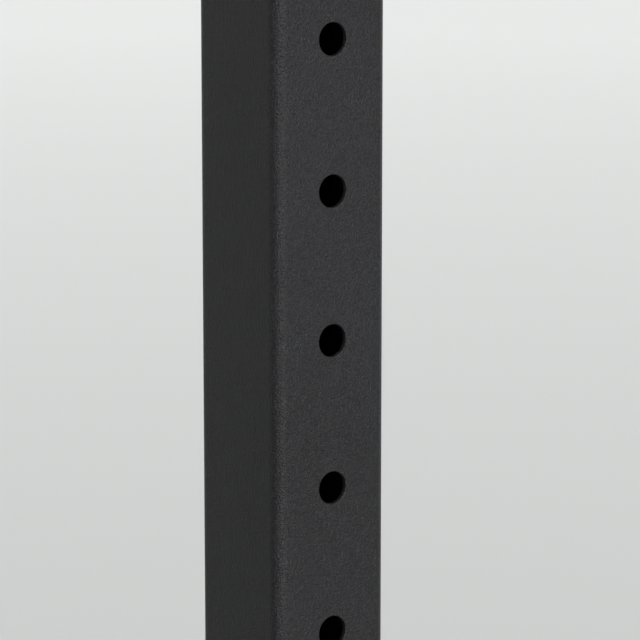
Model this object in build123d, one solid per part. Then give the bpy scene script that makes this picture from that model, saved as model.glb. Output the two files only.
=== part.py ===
"""Power cage: a free-standing weightlifting frame of welded and bolted square steel tube.

Frame: +Z up, +X to the user's right, -Y to the front, where the user walks in.
The origin is on the floor, under the middle of the cage. Millimetres.
"""

import os

from build123d import *

# ---- driving dimensions ---------------------------------------------------------------

tube = 50.0  # square tube, outside
wall = 2.0  # tube wall
corner = 5.0  # outside corner radius of the tube
pitch = 55.0  # height between adjustment holes
hole_d = 12.0  # adjustment hole
hole_count = 31  # adjustment holes in each upright
first_hole = 275.0  # height of the lowest adjustment hole

half_width = 585.0  # upright axis from the middle, across
half_depth = 500.0  # upright axis from the middle, front to back
base_length = 1350.0  # base rail
sole = 5.0  # rubber under the base rails
height = 2155.0  # floor to the top of the top rails

plate = 5.0  # gusset and flange plate thickness
bolt_d = 10.0  # M10 through bolts
bolt_hole_d = 11.0
washer_od, washer_id, washer_t = 21.0, 10.5, 2.0
head_af, head_t = 17.0, 6.4  # hexagon head across flats, and its thickness
nut_af, nut_t = 17.0, 10.0  # lock nut
bolt_tail = 6.0  # thread left showing past the nut

peg_d = 11.5  # pegs that go into the adjustment holes
anchor_d = 13.0  # floor anchor holes in the base rails
anchor_y = 608.0  # floor anchor holes from the middle, front to back

# ---- places worked out from them ------------------------------------------------------

base_axis = sole + tube / 2  # height of the base rail's axis
post_bottom = sole + tube
post_top = height - tube
top_axis = height - tube / 2
inner_face = half_width - tube / 2
outer_face = half_width + tube / 2
front_face = half_depth + tube / 2  # outer face of an upright, front to back
facing = half_depth - tube / 2  # face that looks at the other upright
cross_length = 2 * (inner_face - plate)  # crossmembers fit between the inner plates

base_bolts = [(-52.0, 0.0), (52.0, 0.0), (0.0, 75.0), (0.0, 120.0)]  # along, up from the rail axis
top_bolts = [(55.0, 0.0), (105.0, 0.0), (0.0, 75.0), (0.0, 120.0)]  # inwards, down from the rail axis
flange_bolt = 55.0  # flange bolts above and below the tube's axis
flange_height = 160.0


def hole_height(number):
    """Height of an adjustment hole, counted from 0 at the bottom."""
    return first_hole + number * pitch


def between_holes(number):
    """Height half way between hole number and the next one up."""
    return hole_height(number) + pitch / 2


mid_cross_z = between_holes(14)
storage_z = {"lower": between_holes(2), "upper": between_holes(11)}
hook_pegs = (hole_height(14), hole_height(16))
saddle_pegs = (hole_height(7), hole_height(9))

written = []


def save(name, shapes):
    """Writes one sub-part; a list becomes a group of separate solids."""
    shapes = shapes if isinstance(shapes, list) else [shapes]
    solids = [s for shape in shapes for s in shape.solids()]
    for s in solids:
        s.label = name
    part = solids[0] if len(solids) == 1 else Compound(label=name, children=solids)
    part.label = name
    export_step(part, f"parts/{name}.step")
    written.append(name)


# ---- stock: tubes, plates and fasteners -----------------------------------------------


def square_tube(length):
    """Square tube along +Z from the origin."""
    outside = RectangleRounded(tube, tube, corner)
    inside = RectangleRounded(tube - 2 * wall, tube - 2 * wall, corner - wall)
    return extrude(outside - inside, length)


def along_x(shape):
    """Turns a shape built along +Z so that it runs along +X."""
    return Rot(0, 90, 0) * shape


def along_y(shape):
    """Turns a shape built along +Z so that it runs along +Y."""
    return Rot(-90, 0, 0) * shape


def drill_x(radius, x, y, z, length):
    """A cutter along X through (x, y, z)."""
    return Pos(x, y, z) * Rot(0, 90, 0) * Cylinder(radius, length)


def drill_y(radius, x, y, z, length):
    """A cutter along Y through (x, y, z)."""
    return Pos(x, y, z) * Rot(90, 0, 0) * Cylinder(radius, length)


def plate_yz(points, radius, x, holes=()):
    """Flat plate in a YZ plane, from x to x + plate, with rounded corners and bolt holes."""
    outline = make_face(Polyline(*[(y, z) for y, z in points], close=True))
    outline = fillet(outline.vertices(), radius)
    flat = Plane(origin=(x, 0, 0), x_dir=(0, 1, 0), z_dir=(1, 0, 0)) * outline
    solid = extrude(flat, plate)
    for y, z in holes:
        solid -= drill_x(bolt_hole_d / 2, x + plate / 2, y, z, 4 * plate)
    return solid


def hexagon(across_flats, thickness):
    """Hexagon prism with its outer corners chamfered, from the origin along +Z."""
    body = extrude(RegularPolygon(across_flats / 2, 6, major_radius=False), thickness)
    lens = Cone(across_flats / 2 + thickness, across_flats / 2 - 0.4, thickness + 0.4)
    return body & (Pos(0, 0, (thickness + 0.4) / 2) * lens)


def bolt(length):
    """Hexagon bolt: the shank runs along -Z from the origin, the head stands above it."""
    shank = Pos(0, 0, -length / 2) * Cylinder(bolt_d / 2, length)
    shank = chamfer(shank.edges().filter_by(GeomType.CIRCLE).sort_by(Axis.Z)[0], 1.0)
    return shank + hexagon(head_af, head_t)


def washer():
    """Flat washer, from the origin along +Z."""
    ring = Circle(washer_od / 2) - Circle(washer_id / 2)
    return extrude(ring, washer_t)


def nut():
    """Lock nut, from the origin along +Z, with its collar on top."""
    collar = Pos(0, 0, nut_t - 1.2) * Cylinder(nut_af / 2 - 0.8, 2.4)
    body = hexagon(nut_af, nut_t - 2.4) + collar
    return body - Pos(0, 0, nut_t / 2) * Cylinder(bolt_d / 2 + 0.1, 2 * nut_t)


def through_bolt(side, y, z, head_face, nut_face):
    """Bolt, two washers and nut on an X line; the head is outside and the nut inside.

    side is -1 for the left of the cage and +1 for the right. Both faces are distances
    from the middle of the cage. Returns (bolt, [washers], nut).
    """
    turn = Rot(0, 90 * side, 0)
    length = head_face - nut_face + 2 * washer_t + nut_t + bolt_tail
    head = Pos(side * (head_face + washer_t), y, z) * turn * bolt(length)
    washers = [
        Pos(side * head_face, y, z) * turn * washer(),
        Pos(side * (nut_face - washer_t), y, z) * turn * washer(),
    ]
    inward = Rot(0, -90 * side, 0)
    return head, washers, Pos(side * (nut_face - washer_t), y, z) * inward * nut()


# ---- frame ----------------------------------------------------------------------------


def upright(side, end):
    """One upright. side is -1 left or +1 right, and end is -1 front or +1 rear."""
    post = Pos(side * half_width, end * half_depth, post_bottom) * square_tube(post_top - post_bottom)
    for number in range(hole_count):
        z = hole_height(number)
        post -= drill_y(hole_d / 2, side * half_width, end * half_depth, z, 2 * tube)
    cross_holes = [base_axis + up for along, up in base_bolts if up]
    cross_holes += [top_axis - down for along, down in top_bolts if down]
    if end > 0:
        for z in (mid_cross_z, storage_z["lower"], storage_z["upper"]):
            cross_holes += [z - flange_bolt, z + flange_bolt]
    for z in cross_holes:
        post -= drill_x(bolt_hole_d / 2, side * half_width, end * half_depth, z, 2 * tube)
    return post


def base_rail(side):
    """Floor rail, front to back, with bolt holes at both uprights and four floor anchors."""
    x = side * half_width
    rail = Pos(x, -base_length / 2, base_axis) * along_y(square_tube(base_length))
    for end in (-1, 1):
        for along, up in base_bolts:
            if not up:
                rail -= drill_x(bolt_hole_d / 2, x, end * half_depth - end * along, base_axis, 2 * tube)
        rail -= Pos(x, end * anchor_y, base_axis) * Cylinder(anchor_d / 2, 2 * tube)
    return rail


def top_rail(side):
    """Top rail, front to back, standing on both uprights."""
    x = side * half_width
    rail = Pos(x, -front_face, top_axis) * along_y(square_tube(2 * front_face))
    for end in (-1, 1):
        for along, down in top_bolts:
            if not down:
                rail -= drill_x(bolt_hole_d / 2, x, end * (half_depth - along), top_axis, 2 * tube)
    return rail


def base_gusset(x, end):
    """Plate that clamps an upright to its base rail; it spreads both ways along the rail."""
    low, high, deep = base_axis - tube / 2, base_axis + 145, tube / 2
    shape = [(-78, low), (78, low), (78, low + 34), (deep, high), (-deep, high), (-78, low + 34)]
    points = [(end * half_depth + y, z) for y, z in shape]
    holes = [(end * half_depth + along, base_axis + up) for along, up in base_bolts]
    return plate_yz(points, 4, x, holes)


def top_gusset(x, end):
    """Plate that clamps a top rail to its upright; it spreads towards the middle of the cage."""
    high, low, deep = height, top_axis - 145, tube / 2
    shape = [(-deep, high), (130, high), (130, high - 34), (deep, low), (-deep, low)]
    points = [(end * (half_depth - y), z) for y, z in shape]
    holes = [(end * (half_depth - along), top_axis - down) for along, down in top_bolts]
    return plate_yz(points, 4, x, holes)


def flange(x, y, z, side_of_bolts=flange_bolt):
    """Upright flange plate with one bolt above and one below."""
    half = tube / 2
    points = [
        (y - half, z - flange_height / 2),
        (y + half, z - flange_height / 2),
        (y + half, z + flange_height / 2),
        (y - half, z + flange_height / 2),
    ]
    return plate_yz(points, 6, x, [(y, z - side_of_bolts), (y, z + side_of_bolts)])


def inner_plate_x(side):
    """Low X of a plate on the inner face of that side's tubes."""
    return inner_face - plate if side > 0 else -inner_face


def outer_plate_x(side):
    """Low X of a plate on the outer face of that side's tubes."""
    return outer_face if side > 0 else -outer_face - plate


def crossmember(y, z):
    """Square tube between the inner plates."""
    return Pos(-cross_length / 2, y, z) * along_x(square_tube(cross_length))


sides = {"left": -1, "right": 1}
ends = {"front": -1, "rear": 1}


def make_frame():
    """Uprights, rails, crossmembers and the plates that join them."""
    for side_name, side in sides.items():
        save(f"base_rail_{side_name}", base_rail(side))
        save(f"top_rail_{side_name}", top_rail(side))
        for end_name, end in ends.items():
            save(f"upright_{end_name}_{side_name}", upright(side, end))

    corners = [(side, end) for side in (-1, 1) for end in (-1, 1)]
    loose = [base_gusset(outer_plate_x(side), end) for side, end in corners]
    loose += [base_gusset(inner_plate_x(side), -1) for side in (-1, 1)]
    save("base_gusset_plates", loose)
    save("top_gusset_plates", [top_gusset(outer_plate_x(side), end) for side, end in corners])

    save("rear_base_crossmember", crossmember(half_depth, base_axis))
    save("rear_base_crossmember_plates", [base_gusset(inner_plate_x(side), 1) for side in (-1, 1)])
    save("rear_mid_crossmember", crossmember(half_depth, mid_cross_z))
    mid_plates = [flange(inner_plate_x(side), half_depth, mid_cross_z) for side in (-1, 1)]
    save("rear_mid_crossmember_plates", mid_plates)
    save("rear_top_crossmember", crossmember(half_depth, top_axis))
    save("rear_top_crossmember_plates", [top_gusset(inner_plate_x(side), 1) for side in (-1, 1)])


# ---- pull-up bar ----------------------------------------------------------------------

bar_d, bar_wall = 32.0, 2.5
grip_d, grip_length, grip_x = 40.0, 300.0, 300.0


def make_pull_up_bar():
    """Round bar across the front at the top, welded to its two gusset plates, with two grips."""
    ring = Circle(bar_d / 2) - Circle(bar_d / 2 - bar_wall)
    bar = along_x(extrude(ring, cross_length))
    save("pull_up_bar", Pos(-cross_length / 2, -half_depth, top_axis) * bar)
    save("pull_up_bar_plates", [top_gusset(inner_plate_x(side), -1) for side in (-1, 1)])
    sleeve = along_x(extrude(Circle(grip_d / 2) - Circle(bar_d / 2 + 0.05), grip_length))
    grips = [Pos(side * grip_x - grip_length / 2, -half_depth, top_axis) * sleeve for side in (-1, 1)]
    save("pull_up_grips", grips)


# ---- feet and end caps ----------------------------------------------------------------

cap_wall, cap_reach, cap_end = 3.0, 38.0, 4.0
pad_length = 110.0
plug_depth, plug_flange = 14.0, 3.0


def foot_cap(side, end):
    """Rubber boot over the end of a base rail; its sole is what stands on the floor."""
    back = end * (base_length / 2 - cap_reach)
    front = end * (base_length / 2 + cap_end)
    size_y, mid_y = abs(front - back), (front + back) / 2
    outside = Box(tube + 2 * cap_wall, size_y, sole + tube + cap_wall)
    outside = fillet(outside.edges().filter_by(Axis.Y), 5)
    boot = Pos(0, mid_y, (sole + tube + cap_wall) / 2) * outside
    pocket_y = (back + end * base_length / 2) / 2
    pocket = Pos(0, pocket_y, base_axis) * Box(tube + 0.2, cap_reach, tube + 0.2)
    return Pos(side * half_width, 0, 0) * (boot - pocket)


def square_plug(thickness=plug_flange):
    """Plastic plug for a square tube: the flange from 0 to +Z, the insert below it."""
    flange_part = extrude(RectangleRounded(tube, tube, corner), thickness)
    bore = tube - 2 * wall - 0.3
    shell = RectangleRounded(bore, bore, corner - wall) - RectangleRounded(bore - 5, bore - 5, 1.0)
    return chamfer(flange_part.edges().group_by(Axis.Z)[-1], 1.0) + Pos(0, 0, -plug_depth) * extrude(
        shell, plug_depth
    )


def make_feet_and_caps():
    """Rubber boots and pads under the base rails, and plugs in the top rails."""
    corners = [(side, end) for side in (-1, 1) for end in (-1, 1)]
    save("foot_caps", [foot_cap(side, end) for side, end in corners])
    pad = fillet(Box(tube, pad_length, sole).edges().filter_by(Axis.Z), 8)
    save("base_pads", [Pos(side * half_width, end * half_depth, sole / 2) * pad for side, end in corners])
    plugs = []
    for side, end in corners:
        outward = Rot(-90 * end, 0, 0)
        plugs.append(Pos(side * half_width, end * front_face, top_axis) * outward * square_plug())
    save("top_rail_end_caps", plugs)


# ---- fasteners ------------------------------------------------------------------------


def make_fasteners():
    """Through bolts at the eight corners, and at the mid crossmember and storage pegs."""
    corner_sets, flange_sets = [], []
    for side in (-1, 1):
        for end in (-1, 1):
            for along, up in base_bolts:
                y = end * half_depth + along
                corner_sets.append((side, y, base_axis + up))
            for along, down in top_bolts:
                y = end * (half_depth - along)
                corner_sets.append((side, y, top_axis - down))
    for side in (-1, 1):
        for z in (mid_cross_z - flange_bolt, mid_cross_z + flange_bolt):
            flange_sets.append((side, half_depth, z, outer_face, inner_face - plate))
        for level in storage_z.values():
            for z in (level - flange_bolt, level + flange_bolt):
                flange_sets.append((side, half_depth, z, outer_face + plate, inner_face))

    corner_made = [through_bolt(*s, outer_face + plate, inner_face - plate) for s in corner_sets]
    flange_made = [through_bolt(*s) for s in flange_sets]
    for kind, made in (("corner", corner_made), ("flange", flange_made)):
        save(f"{kind}_bolts", [m[0] for m in made])
        save(f"{kind}_washers", [w for m in made for w in m[1]])
        save(f"{kind}_nuts", [m[2] for m in made])


# ---- plate storage pegs ---------------------------------------------------------------

storage_d, storage_wall, storage_length = 48.0, 2.5, 230.0
bumper_od, bumper_t = 70.0, 12.0
bumper_seat = 0.4  # the peg is this much smaller in radius under its rubber ring
storage_cap_t = 4.0


def make_storage_pegs():
    """Four round pegs on the outside of the rear uprights, for weight plates."""
    ring = Circle(storage_d / 2) - Circle(storage_d / 2 - storage_wall)
    seat_r = storage_d / 2 - bumper_seat
    tube_part = extrude(ring, storage_length - storage_cap_t)
    tube_part -= extrude(Circle(storage_d) - Circle(seat_r), bumper_t)
    bumper = extrude(Circle(bumper_od / 2) - Circle(seat_r + 0.05), bumper_t)
    bumper = fillet(bumper.edges().filter_by(GeomType.CIRCLE).group_by(SortBy.RADIUS)[-1], 3)
    face = chamfer(extrude(Circle(storage_d / 2), storage_cap_t).edges().group_by(Axis.Z)[-1], 1.5)
    cap = face + Pos(0, 0, -plug_depth) * extrude(Circle(storage_d / 2 - storage_wall - 0.1), plug_depth)
    flanges, bumpers, caps = [], [], []
    root_x = outer_face + plate
    for side_name, side in sides.items():
        for level_name, z in storage_z.items():
            turn = Rot(0, 90 * side, 0)
            base = Pos(side * root_x, half_depth, z) * turn
            tip = Pos(side * (root_x + storage_length - storage_cap_t), half_depth, z) * turn
            save(f"storage_peg_{side_name}_{level_name}", base * tube_part)
            flanges.append(flange(outer_plate_x(side), half_depth, z))
            bumpers.append(base * bumper)
            caps.append(tip * cap)
    save("storage_peg_flanges", flanges)
    save("storage_peg_bumpers", bumpers)
    save("storage_peg_end_caps", caps)


# ---- J-hooks --------------------------------------------------------------------------

hook_plate = 6.0
hook_width = 60.0
hook_reach = 72.0  # from the upright's face to the front of the lip
hook_lip = 38.0  # lip above the shelf
hook_low, hook_top = 1020.0, 1180.0
liner_t = 6.0
liner_width = 56.0
guide_t, guide_gap, guide_reach = 4.0, 0.6, 26.0
peg_past = 8.0  # pegs stand this far out of the far wall
screw_r, screw_sink = 4.5, 2.6


def hook_profile(points, outer, inner):
    """Face in the YZ plane from (forward, up) points; outer and inner are (indices, radius)."""
    face = make_face(Polyline(*[(-forward, up) for forward, up in points], close=True))
    for indices, radius in (outer, inner):
        for index in indices:
            forward, up = points[index]
            near = face.vertices().sort_by_distance(Vector(-forward, up, 0))[0]
            face = fillet(near, radius)
    return Plane(origin=(0, 0, 0), x_dir=(0, 1, 0), z_dir=(1, 0, 0)) * face


def hook_bracket():
    """Bent plate with a shelf and a lip, and two guides that keep it straight on the upright."""
    shelf = hook_low + hook_plate
    outline = [
        (0, hook_top),
        (0, hook_low),
        (hook_reach, hook_low),
        (hook_reach, shelf + hook_lip),
        (hook_reach - hook_plate, shelf + hook_lip),
        (hook_reach - hook_plate, shelf),
        (hook_plate, shelf),
        (hook_plate, hook_top),
    ]
    profile = hook_profile(outline, ([1, 2], 10), ([5, 6], 4))
    body = extrude(profile, hook_width / 2, both=True)
    top_corners = body.edges().filter_by(Axis.Y).group_by(Axis.Z)[-1]
    lip_corners = body.edges().filter_by(Axis.Y).sort_by_distance((0, -hook_reach, shelf + hook_lip))[:2]
    body = fillet(top_corners + lip_corners, 8)
    low, high = hook_pegs[0] + 15, hook_pegs[1] + 10
    for side in (-1, 1):
        x = side * (tube / 2 + guide_gap + guide_t / 2)
        size_y = guide_reach + hook_plate
        guide = Box(guide_t, size_y, high - low)
        guide = fillet(guide.edges().filter_by(Axis.X).group_by(Axis.Y)[-1], 8)
        body += Pos(x, guide_reach - size_y / 2, (low + high) / 2) * guide
    return body


def hook_screws():
    """Places of the liner screws: (forward, up) on the back of the cup."""
    return [hook_low + 62, hook_low + 122]


def hook_liner():
    """Plastic liner that protects the bar, one bent strip with three countersinks."""
    shelf = hook_low + hook_plate
    back, front = hook_plate, hook_reach - hook_plate
    outline = [
        (back, hook_top - 18),
        (back, shelf),
        (front, shelf),
        (front, shelf + hook_lip - 4),
        (front - liner_t, shelf + hook_lip - 4),
        (front - liner_t, shelf + liner_t),
        (back + liner_t, shelf + liner_t),
        (back + liner_t, hook_top - 18),
    ]
    profile = hook_profile(outline, ([1, 2], 4.0), ([5, 6], 9))
    body = extrude(profile, liner_width / 2, both=True)
    body = fillet(body.edges().filter_by(Axis.Y).group_by(Axis.Z)[-1], 8)
    for z in hook_screws():
        body -= drill_y(screw_r, 0, -(back + liner_t), z, 2 * screw_sink)
    return body


def make_j_hooks():
    """Two J-hooks on the front faces of the front uprights."""
    peg_length = tube + peg_past
    for side_name, side in sides.items():
        place = Pos(side * half_width, -front_face, 0)
        save(f"j_hook_{side_name}_bracket", place * hook_bracket())
        save(f"j_hook_{side_name}_liner", place * hook_liner())
        pegs = []
        for z in hook_pegs:
            peg = Cylinder(peg_d / 2, peg_length)
            peg = chamfer(peg.edges().group_by(Axis.Z)[-1], 2)
            pegs.append(place * Pos(0, peg_length / 2, z) * along_y(peg))
        save(f"j_hook_{side_name}_pegs", pegs)
        screws = []
        for z in hook_screws():
            head = Cylinder(screw_r - 0.2, screw_sink - 0.2)
            depth = hook_plate + liner_t - screw_sink / 2 - 0.1
            screws.append(place * Pos(0, -depth, z) * along_y(head))
        save(f"j_hook_{side_name}_screws", screws)


# ---- safety bars ----------------------------------------------------------------------

saddle_low, saddle_high = 640.0, 790.0
saddle_floor = 690.0  # where the safety bar rests
saddle_width = 62.0
cheek_t, cheek_height, cheek_reach = 5.0, 42.0, 62.0
saddle_bend = 3.0  # inside bend radius of the saddle's channel
bar_gap = 2.0  # safety bar's end to the saddle's plate
pad_width, pad_t = 44.0, 8.0
safety_length = 2 * (facing - plate - bar_gap)


def saddle_channel():
    """Bent channel that holds the end of a safety bar, from the saddle's plate along +Y."""
    half, low, top = saddle_width / 2, saddle_floor - cheek_t, saddle_floor + cheek_height
    inside = half - cheek_t
    outline = [
        (-half, top),
        (-half, low),
        (half, low),
        (half, top),
        (inside, top),
        (inside, saddle_floor),
        (-inside, saddle_floor),
        (-inside, top),
    ]
    face = make_face(Polyline(*outline, close=True))
    for radius, bends in ((cheek_t + saddle_bend, (1, 2)), (saddle_bend, (5, 6))):
        for index in bends:
            near = face.vertices().sort_by_distance(Vector(*outline[index], 0))[0]
            face = fillet(near, radius)
    flat = Plane(origin=(0, plate, 0), x_dir=(1, 0, 0), z_dir=(0, -1, 0))
    channel = extrude(flat * face, -cheek_reach)
    far_edges = channel.edges().filter_by(Axis.X).group_by(Axis.Y)[-1]
    return fillet(far_edges.group_by(Axis.Z)[-1], 14)


def saddle():
    """Pocket for the end of a safety bar, from the upright's face at Y = 0 along +Y."""
    back = Box(saddle_width, plate, saddle_high - saddle_low)
    back = fillet(back.edges().filter_by(Axis.Y), 8)
    body = Pos(0, plate / 2, (saddle_low + saddle_high) / 2) * back + saddle_channel()
    rib_top, rib_low = saddle_floor - cheek_t, saddle_low + 8
    rib = [(plate, rib_low), (plate, rib_top), (plate + cheek_reach - 8, rib_top)]
    flat = Plane(origin=(-cheek_t / 2, 0, 0), x_dir=(0, 1, 0), z_dir=(1, 0, 0))
    return body + extrude(flat * make_face(Polyline(*rib, close=True)), cheek_t)


def make_saddles():
    """Four saddles with two pegs each, on the faces where the uprights look at each other."""
    pegs = []
    peg_length = tube + peg_past
    for side_name, side in sides.items():
        for end_name, end in ends.items():
            place = Pos(side * half_width, end * facing, 0) * Rot(0, 0, 0 if end < 0 else 180)
            save(f"safety_saddle_{end_name}_{side_name}", place * saddle())
            for z in saddle_pegs:
                peg = Cylinder(peg_d / 2, peg_length)
                peg = chamfer(peg.edges().group_by(Axis.Z)[-1], 2)
                pegs.append(place * Pos(0, -peg_length / 2, z) * Rot(90, 0, 0) * peg)
    save("safety_saddle_pegs", pegs)


def make_safety_bars():
    """Two bars that drop into the saddles, each with a plastic strip on top and two end plugs."""
    axis_z = saddle_floor + tube / 2
    body_length = safety_length - 2 * plug_flange
    strip_length = safety_length - 2 * cheek_reach - 30
    screw_y = [strip_length * share for share in (-0.46, -0.16, 0.16, 0.46)]
    for side_name, side in sides.items():
        place = Pos(side * half_width, 0, axis_z)
        save(f"safety_bar_{side_name}", place * Pos(0, -body_length / 2, 0) * along_y(square_tube(body_length)))
        strip = Box(pad_width, strip_length, pad_t)
        strip = chamfer(strip.edges().group_by(Axis.Z)[-1], 2)
        strip_z = tube / 2 + pad_t / 2
        cut = Pos(0, 0, strip_z) * strip
        heads = []
        for y in screw_y:
            top = tube / 2 + pad_t
            cut -= Pos(0, y, top) * Cylinder(screw_r, 2 * screw_sink)
            seat = Cylinder(screw_r - 0.2, screw_sink - 0.2)
            heads.append(place * Pos(0, y, top - screw_sink / 2 - 0.1) * seat)
        save(f"safety_bar_{side_name}_strip", place * cut)
        save(f"safety_bar_{side_name}_screws", heads)
        plugs = []
        for end in (-1, 1):
            plugs.append(place * Pos(0, end * body_length / 2, 0) * Rot(-90 * end, 0, 0) * square_plug())
        save(f"safety_bar_{side_name}_end_caps", plugs)


def main():
    """Writes every sub-part."""
    os.makedirs("parts", exist_ok=True)
    make_frame()
    make_pull_up_bar()
    make_feet_and_caps()
    make_fasteners()
    make_storage_pegs()
    make_j_hooks()
    make_saddles()
    make_safety_bars()
    print(len(written), "sub-parts written")


if __name__ == "__main__":
    main()
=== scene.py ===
"""Power cage: the visible pieces of a bolted weightlifting cage, built around its CAD frame."""

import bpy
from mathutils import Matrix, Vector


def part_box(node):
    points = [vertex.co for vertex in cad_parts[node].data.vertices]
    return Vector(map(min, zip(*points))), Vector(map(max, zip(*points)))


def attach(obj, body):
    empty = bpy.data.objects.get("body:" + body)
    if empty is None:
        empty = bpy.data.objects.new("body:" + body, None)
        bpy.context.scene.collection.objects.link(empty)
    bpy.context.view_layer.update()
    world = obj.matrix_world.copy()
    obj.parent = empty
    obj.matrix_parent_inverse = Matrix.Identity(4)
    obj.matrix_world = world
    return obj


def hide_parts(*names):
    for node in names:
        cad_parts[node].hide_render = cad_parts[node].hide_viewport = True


bl_info = {
    "name": "Power Cage",
    "version": (1, 0, 0),
    "blender": (4, 5, 0),
    "location": "3D View > Sidebar > Power Cage",
    "description": "Builds the visible pieces of a power cage around its CAD frame",
    "category": "Add Mesh",
}

import math
import random

import bmesh
import bpy
from mathutils import Matrix, Vector

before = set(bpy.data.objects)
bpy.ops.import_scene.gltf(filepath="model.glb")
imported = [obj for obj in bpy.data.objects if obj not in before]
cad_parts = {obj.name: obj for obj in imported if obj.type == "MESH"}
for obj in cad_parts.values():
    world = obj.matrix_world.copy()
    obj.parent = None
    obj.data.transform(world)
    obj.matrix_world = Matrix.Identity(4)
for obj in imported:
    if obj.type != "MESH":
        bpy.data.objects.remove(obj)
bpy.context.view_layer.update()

# ---- sizes, in metres, taken from the frame's own boxes where one shows them -----------

POST_LOW, POST_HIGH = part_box("upright_front_right")
RAIL_LOW, RAIL_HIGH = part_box("base_rail_right")
ROOF_LOW, ROOF_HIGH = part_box("top_rail_right")
CROSS_LOW, CROSS_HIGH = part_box("rear_mid_crossmember")
SAFETY_LOW, SAFETY_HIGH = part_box("safety_bar_right")
HOOK_LOW, HOOK_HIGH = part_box("j_hook_right_bracket")
SADDLE_LOW, SADDLE_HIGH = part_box("safety_saddle_front_right")

TUBE = POST_HIGH.x - POST_LOW.x
HALF_TUBE = TUBE / 2
CORNER = 0.005  # outside corner radius of the tube
POST_X = (POST_LOW.x + POST_HIGH.x) / 2
POST_Y = -(POST_LOW.y + POST_HIGH.y) / 2
OUTER_FACE, INNER_FACE = POST_HIGH.x, POST_LOW.x
FRONT_FACE, FACING = POST_Y + HALF_TUBE, POST_Y - HALF_TUBE
RAIL_Z = (RAIL_LOW.z + RAIL_HIGH.z) / 2
ROOF_Z = (ROOF_LOW.z + ROOF_HIGH.z) / 2
CROSS_Z = (CROSS_LOW.z + CROSS_HIGH.z) / 2
CROSS_END = CROSS_HIGH.x

FIRST_HOLE, HOLE_COUNT, HOLE_PITCH = 0.275, 31, 0.055
PLATE = 0.005
GUSSET_REACH, GUSSET_SHOULDER = 0.145, 0.034  # along the upright from the rail's axis, and at full width
BASE_BOLTS = [(-0.052, 0.0), (0.052, 0.0), (0.0, 0.075), (0.0, 0.120)]
ROOF_BOLTS = [(0.055, 0.0), (0.105, 0.0), (0.0, 0.075), (0.0, 0.120)]
FLANGE_BOLT = 0.055
FLANGE_HALF = 0.080
BOLT_R, BOLT_HOLE_R = 0.005, 0.0055
WASHER_R, WASHER_HOLE_R, WASHER_T = 0.0105, 0.00525, 0.002
HEX_FLATS, HEAD_T, NUT_T, NUT_COLLAR = 0.017, 0.0064, 0.010, 0.0024
BOLT_TAIL = 0.006
SOFT = 0.0003  # rounding of the edges of turned and sawn steel
BEAD_OUT = 0.2  # how far a weld's middle stands off its corner, as a share of its size
ANCHOR_Y, ANCHOR_R = 0.608, 0.0065
LOOSE_PEG_R = 0.00575

STORAGE_R, STORAGE_WALL, STORAGE_LENGTH = 0.024, 0.0025, 0.230
BUMPER_R, BUMPER_T = 0.035, 0.012
STORAGE_CAP_T = 0.004
STORAGE_LEVELS = {
    level: sum(corner.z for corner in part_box(f"storage_peg_right_{level}")) / 2
    for level in ("lower", "upper")
}

SIDES = {"left": -1, "right": 1}
ENDS = {"front": -1, "rear": 1}
CORNERS = [(side, end) for side in SIDES.values() for end in ENDS.values()]


class CageSizes(bpy.types.PropertyGroup):
    """Sizes of the stock that the visible pieces are made from."""

    wall: bpy.props.FloatProperty(
        name="Tube wall", description="Wall thickness of the square tube", default=0.002,
        min=0.001, max=0.004, unit="LENGTH",
    )
    hole: bpy.props.FloatProperty(
        name="Hole", description="Diameter of the adjustment holes", default=0.012,
        min=0.008, max=0.02, unit="LENGTH",
    )
    pitch: bpy.props.FloatProperty(
        name="Pitch", description="Height from one adjustment hole to the next", default=HOLE_PITCH,
        min=0.03, max=0.1, unit="LENGTH",
    )
    rim: bpy.props.FloatProperty(
        name="Hole rim", description="Rounding that the paint leaves on a hole's edge", default=0.00045,
        min=0.0001, max=0.001, unit="LENGTH",
    )
    plate_edge: bpy.props.FloatProperty(
        name="Plate edge", description="Rounding of the cut edges of the plates", default=0.0006,
        min=0.0001, max=0.002, unit="LENGTH",
    )
    weld: bpy.props.FloatProperty(
        name="Weld", description="Size of a weld bead across its throat", default=0.0026,
        min=0.001, max=0.005, unit="LENGTH",
    )


class CageFinish(bpy.types.PropertyGroup):
    """Colours and finishes of the cage."""

    coat: bpy.props.FloatVectorProperty(
        name="Powder coat", description="Colour of the textured powder coat", subtype="COLOR",
        default=(0.0060, 0.0060, 0.0068), min=0.0, max=1.0,
    )
    coat_roughness: bpy.props.FloatProperty(
        name="Coat roughness", description="Roughness of the powder coat", default=0.41,
        min=0.0, max=1.0, subtype="FACTOR",
    )
    grain: bpy.props.FloatProperty(
        name="Grain", description="Distance between the grains of the textured coat", default=0.00095,
        min=0.0003, max=0.004, unit="LENGTH",
    )
    grain_depth: bpy.props.FloatProperty(
        name="Grain depth", description="Height of the grains of the textured coat", default=0.00058,
        min=0.0, max=0.002, unit="LENGTH",
    )
    rubber: bpy.props.FloatVectorProperty(
        name="Rubber", description="Colour of the boots, pads, rings and grips", subtype="COLOR",
        default=(0.012, 0.012, 0.012), min=0.0, max=1.0,
    )
    liner: bpy.props.FloatVectorProperty(
        name="Liner", description="Colour of the plastic liners and strips", subtype="COLOR",
        default=(0.030, 0.030, 0.031), min=0.0, max=1.0,
    )


class CageStudio(bpy.types.PropertyGroup):
    """The floor, the lights and the camera."""

    floor: bpy.props.FloatVectorProperty(
        name="Floor", description="Colour of the floor far from the cage", subtype="COLOR",
        default=(0.614, 0.624, 0.617), min=0.0, max=1.0,
    )
    lens: bpy.props.FloatProperty(
        name="Lens", description="Focal length of the camera, in millimetres", default=193.4,
        min=20.0, max=400.0,
    )
    light: bpy.props.FloatProperty(
        name="Light", description="Strength of all the lights together", default=1.0, min=0.0, max=4.0,
    )


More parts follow.
